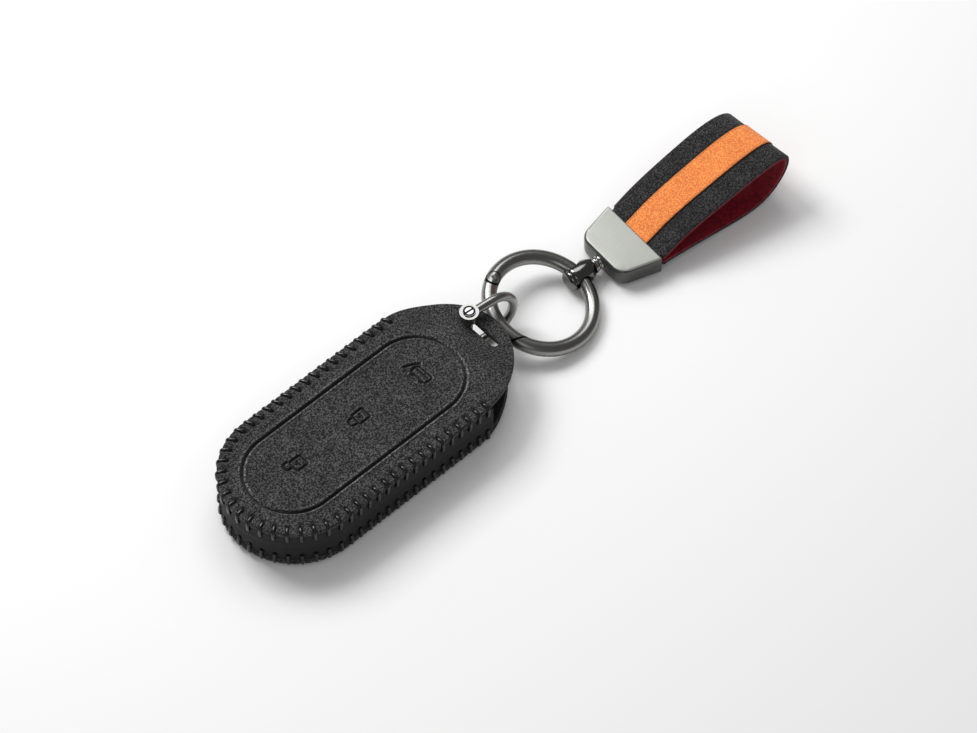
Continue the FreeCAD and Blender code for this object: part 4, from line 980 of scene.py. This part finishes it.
def strap_layer(name, p, depth, thick, width, rounding):
    """A layer of the strap: an oblong section with round edges carried along the loop.

    The loop's outer face mixes the splines of its two edges across the strap, and the layer is sunk
    from that face along the normals. The tails narrow inside the clasp.
    """
    half = width / 2
    r = min(rounding, thick / 2)
    turn = np.linspace(0, np.pi / 2, STRAP_EDGE_POINTS)
    shade_line = p.stripe_width / 2 + np.array(STRIPE_SHADE_POINTS)
    inner = np.concatenate([np.linspace(-half + r, half - r, STRAP_POINTS)[1:-1], shade_line, -shade_line])
    inner = np.sort(inner[np.abs(inner) < half - r])
    left = -half + r - r * np.cos(turn)
    edge = np.concatenate([left, inner, -left[::-1]])
    round_in = r - r * np.sin(turn)
    sink = np.concatenate([round_in, np.zeros(len(inner)), round_in[::-1]])
    across = np.concatenate([edge, edge[::-1]])
    deep = depth + np.concatenate([sink, thick - sink[::-1]])
    share = (across / p.width + 0.5)[:, None, None]
    line, normal = spline((1 - share) * np.array(NEAR_EDGE) + share * np.array(FAR_EDGE), LOOP_ROWS)
    x, z = (line - deep[:, None, None] * normal).T
    limit = np.where(x < TAIL_REACH, p.tail_width / 2 + TAIL_TAPER * np.minimum(x, 0.0), np.inf)
    y = np.clip(across, -limit, limit)
    c, s = math.cos(p.yaw), math.sin(p.yaw)
    points = np.stack([p.mouth[0] + c * x - s * y, p.mouth[1] + s * x + c * y, z], axis=-1)
    made = tubes(name, points[None])
    px, py, _ = corners(made)
    side = c * (py - p.mouth[1]) - s * (px - p.mouth[0])
    # Painted shade beside both edges of the raised stripe, kept in the pressed value
    paint(made, "pressed", hill(np.abs(side) - p.stripe_width / 2 - STRIPE_SHADE_PLACE, STRIPE_SHADE_WIDTH))
    return made


class FOB_OT_strap(Operator):
    """Make the strap loop in its three layers"""

    bl_idname = "fob.strap"
    bl_label = "Strap"

    def execute(self, context):
        scene = context.scene
        p = in_mm(scene.fob_strap)
        looks = scene.fob_finish
        outer = strap_layer("strap_suede", p, 0.0, p.outer, p.width, p.outer_edge)
        lining = strap_layer("strap_inside", p, p.outer, p.lining, p.width, p.lining_edge)
        stripe = strap_layer("stripe_suede", p, -p.stripe, p.stripe, p.stripe_width, p.stripe_edge)
        charcoal = suede("strap_charcoal", tuple(looks.suede_dark), shade(looks.suede_light, 0.66))
        fit(outer, "strap", "strap_outer", charcoal)
        orange = suede("orange_suede", shade(looks.orange, 0.7), shade(looks.orange, 1.35), 0.06)
        fit(stripe, "strap", "strap_stripe", orange)
        crimson = smooth_leather("crimson_leather", tuple(looks.crimson), 0.6)
        fit(lining, "strap", "strap_lining", crimson)
        return {"FINISHED"}


# Stage

# Name, place in metres and power of each lamp, their size, and the point that they face
LAMPS = (("window", (0.0, 0.42, 0.5), 3.2), ("softbox", (0.3, 0.26, 0.52), 1.0), ("fill", (-0.4, -0.3, 0.45), 0.35))
LAMP_SIZE, LAMP_AIM = 0.3, (0.05, 0.0, 0.0)
# Strength of the sky for plain light and for reflections
SKY_PLAIN, SKY_GLOSSY = 0.4, 0.16
FLOOR_HALF = 1500.0
# Width and middle of the picture and the place of the aim in it, in picture points, and the film's width
PICTURE_WIDTH, PICTURE_MIDDLE, PICTURE_AIM, FILM = 977, (488.5, 366.5), (355.2, 424.0), 36.0


class FOB_OT_stage(Operator):
    """Make the floor, the lamps and the camera"""

    bl_idname = "fob.stage"
    bl_label = "Stage"

    def execute(self, context):
        scene = context.scene
        scene.view_settings.view_transform = "Standard"
        self.floor(scene.fob_stage)
        self.light(scene)
        self.camera(scene, scene.fob_stage)
        return {"FINISHED"}

    def floor(self, s):
        """A level square at the foot of the object."""
        x, y = np.meshgrid([-FLOOR_HALF, FLOOR_HALF], [-FLOOR_HALF, FLOOR_HALF])
        points = np.stack([x, y, np.full(x.shape, CAD_BOX[0][2] / MM)], axis=-1)
        floor = put_mesh("floor", points, [(0, 1, 3, 2)], merge=False)
        material, _, main = shader("pale_floor")
        tune(main, Base_Color=(*s.floor, 1.0), Roughness=0.85, Specular_IOR_Level=0.1)
        floor.data.materials.append(material)

    def light(self, scene):
        """A white sky that reflects less than it lights, and the lamps."""
        scene.world = bpy.data.worlds.new("studio")
        scene.world.use_nodes = True
        sky = scene.world.node_tree
        glossy = node(sky, "ShaderNodeLightPath").outputs["Is Glossy Ray"]
        tune(sky.nodes["Background"], Color=(1.0, 1.0, 1.0, 1.0),
             Strength=remap(sky, glossy, 0.0, 1.0, SKY_PLAIN, SKY_GLOSSY))
        for name, place, power in LAMPS:
            data = bpy.data.lights.new(name, "AREA")
            data.energy = power
            data.size = LAMP_SIZE
            lamp = bpy.data.objects.new(name, data)
            lamp.location = place
            lamp.rotation_mode = "QUATERNION"
            lamp.rotation_quaternion = (Vector(place) - Vector(LAMP_AIM)).to_track_quat("Z", "Y")
            scene.collection.objects.link(lamp)

    def camera(self, scene, s):
        """A long lens that shows the aim at its place in the picture."""
        a, e = s.azimuth, s.elevation
        right = Vector((math.cos(a), math.sin(a), 0))
        behind = Vector((math.sin(a) * math.cos(e), -math.cos(a) * math.cos(e), math.sin(e)))
        above = behind.cross(right)
        pixel = MM / s.scale
        across, down = ((aim - middle) * pixel for aim, middle in zip(PICTURE_AIM, PICTURE_MIDDLE))
        place = Vector(s.aim) - across * right + down * above + s.focal * pixel * behind
        data = bpy.data.cameras.new("camera")
        data.sensor_width = FILM
        data.lens = FILM * s.focal / PICTURE_WIDTH
        data.clip_start, data.clip_end = 0.05, 20.0
        camera = bpy.data.objects.new("camera", data)
        camera.matrix_world = Matrix.Translation(place) @ Matrix((right, above, behind)).transposed().to_4x4()
        scene.collection.objects.link(camera)
        scene.camera = camera


class FOB_PT_parts(Panel):
    """Pieces of the key fob cover"""

    bl_label = "Key Fob Cover"
    bl_space_type = "VIEW_3D"
    bl_region_type = "UI"
    bl_category = "Key Fob"

    def draw(self, context):
        for step in STEPS:
            self.layout.operator(step.bl_idname)


GROUPS = {"fob_case": CaseSizes, "fob_stitch": StitchSizes, "fob_strap": StrapSizes, "fob_swivel": SwivelSizes,
          "fob_finish": Finishes, "fob_stage": StageSizes}
STEPS = (FOB_OT_panels, FOB_OT_linings, FOB_OT_band, FOB_OT_stitches, FOB_OT_metal, FOB_OT_strap, FOB_OT_stage)


def register():
    """Make the groups, the operators and the panel known."""
    for group in (*GROUPS.values(), *STEPS, FOB_PT_parts):
        bpy.utils.register_class(group)
    for name, group in GROUPS.items():
        setattr(bpy.types.Scene, name, PointerProperty(type=group))


def unregister():
    """Take them back in the opposite order."""
    for name in reversed(GROUPS):
        delattr(bpy.types.Scene, name)
    for group in reversed((*GROUPS.values(), *STEPS, FOB_PT_parts)):
        bpy.utils.unregister_class(group)


def main():
    """Make every piece."""
    register()
    bpy.ops.fob.panels()
    bpy.ops.fob.linings()
    bpy.ops.fob.band()
    bpy.ops.fob.stitches()
    bpy.ops.fob.metal()
    bpy.ops.fob.strap()
    bpy.ops.fob.stage()
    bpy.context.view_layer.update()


if __name__ == "__main__":
    main()
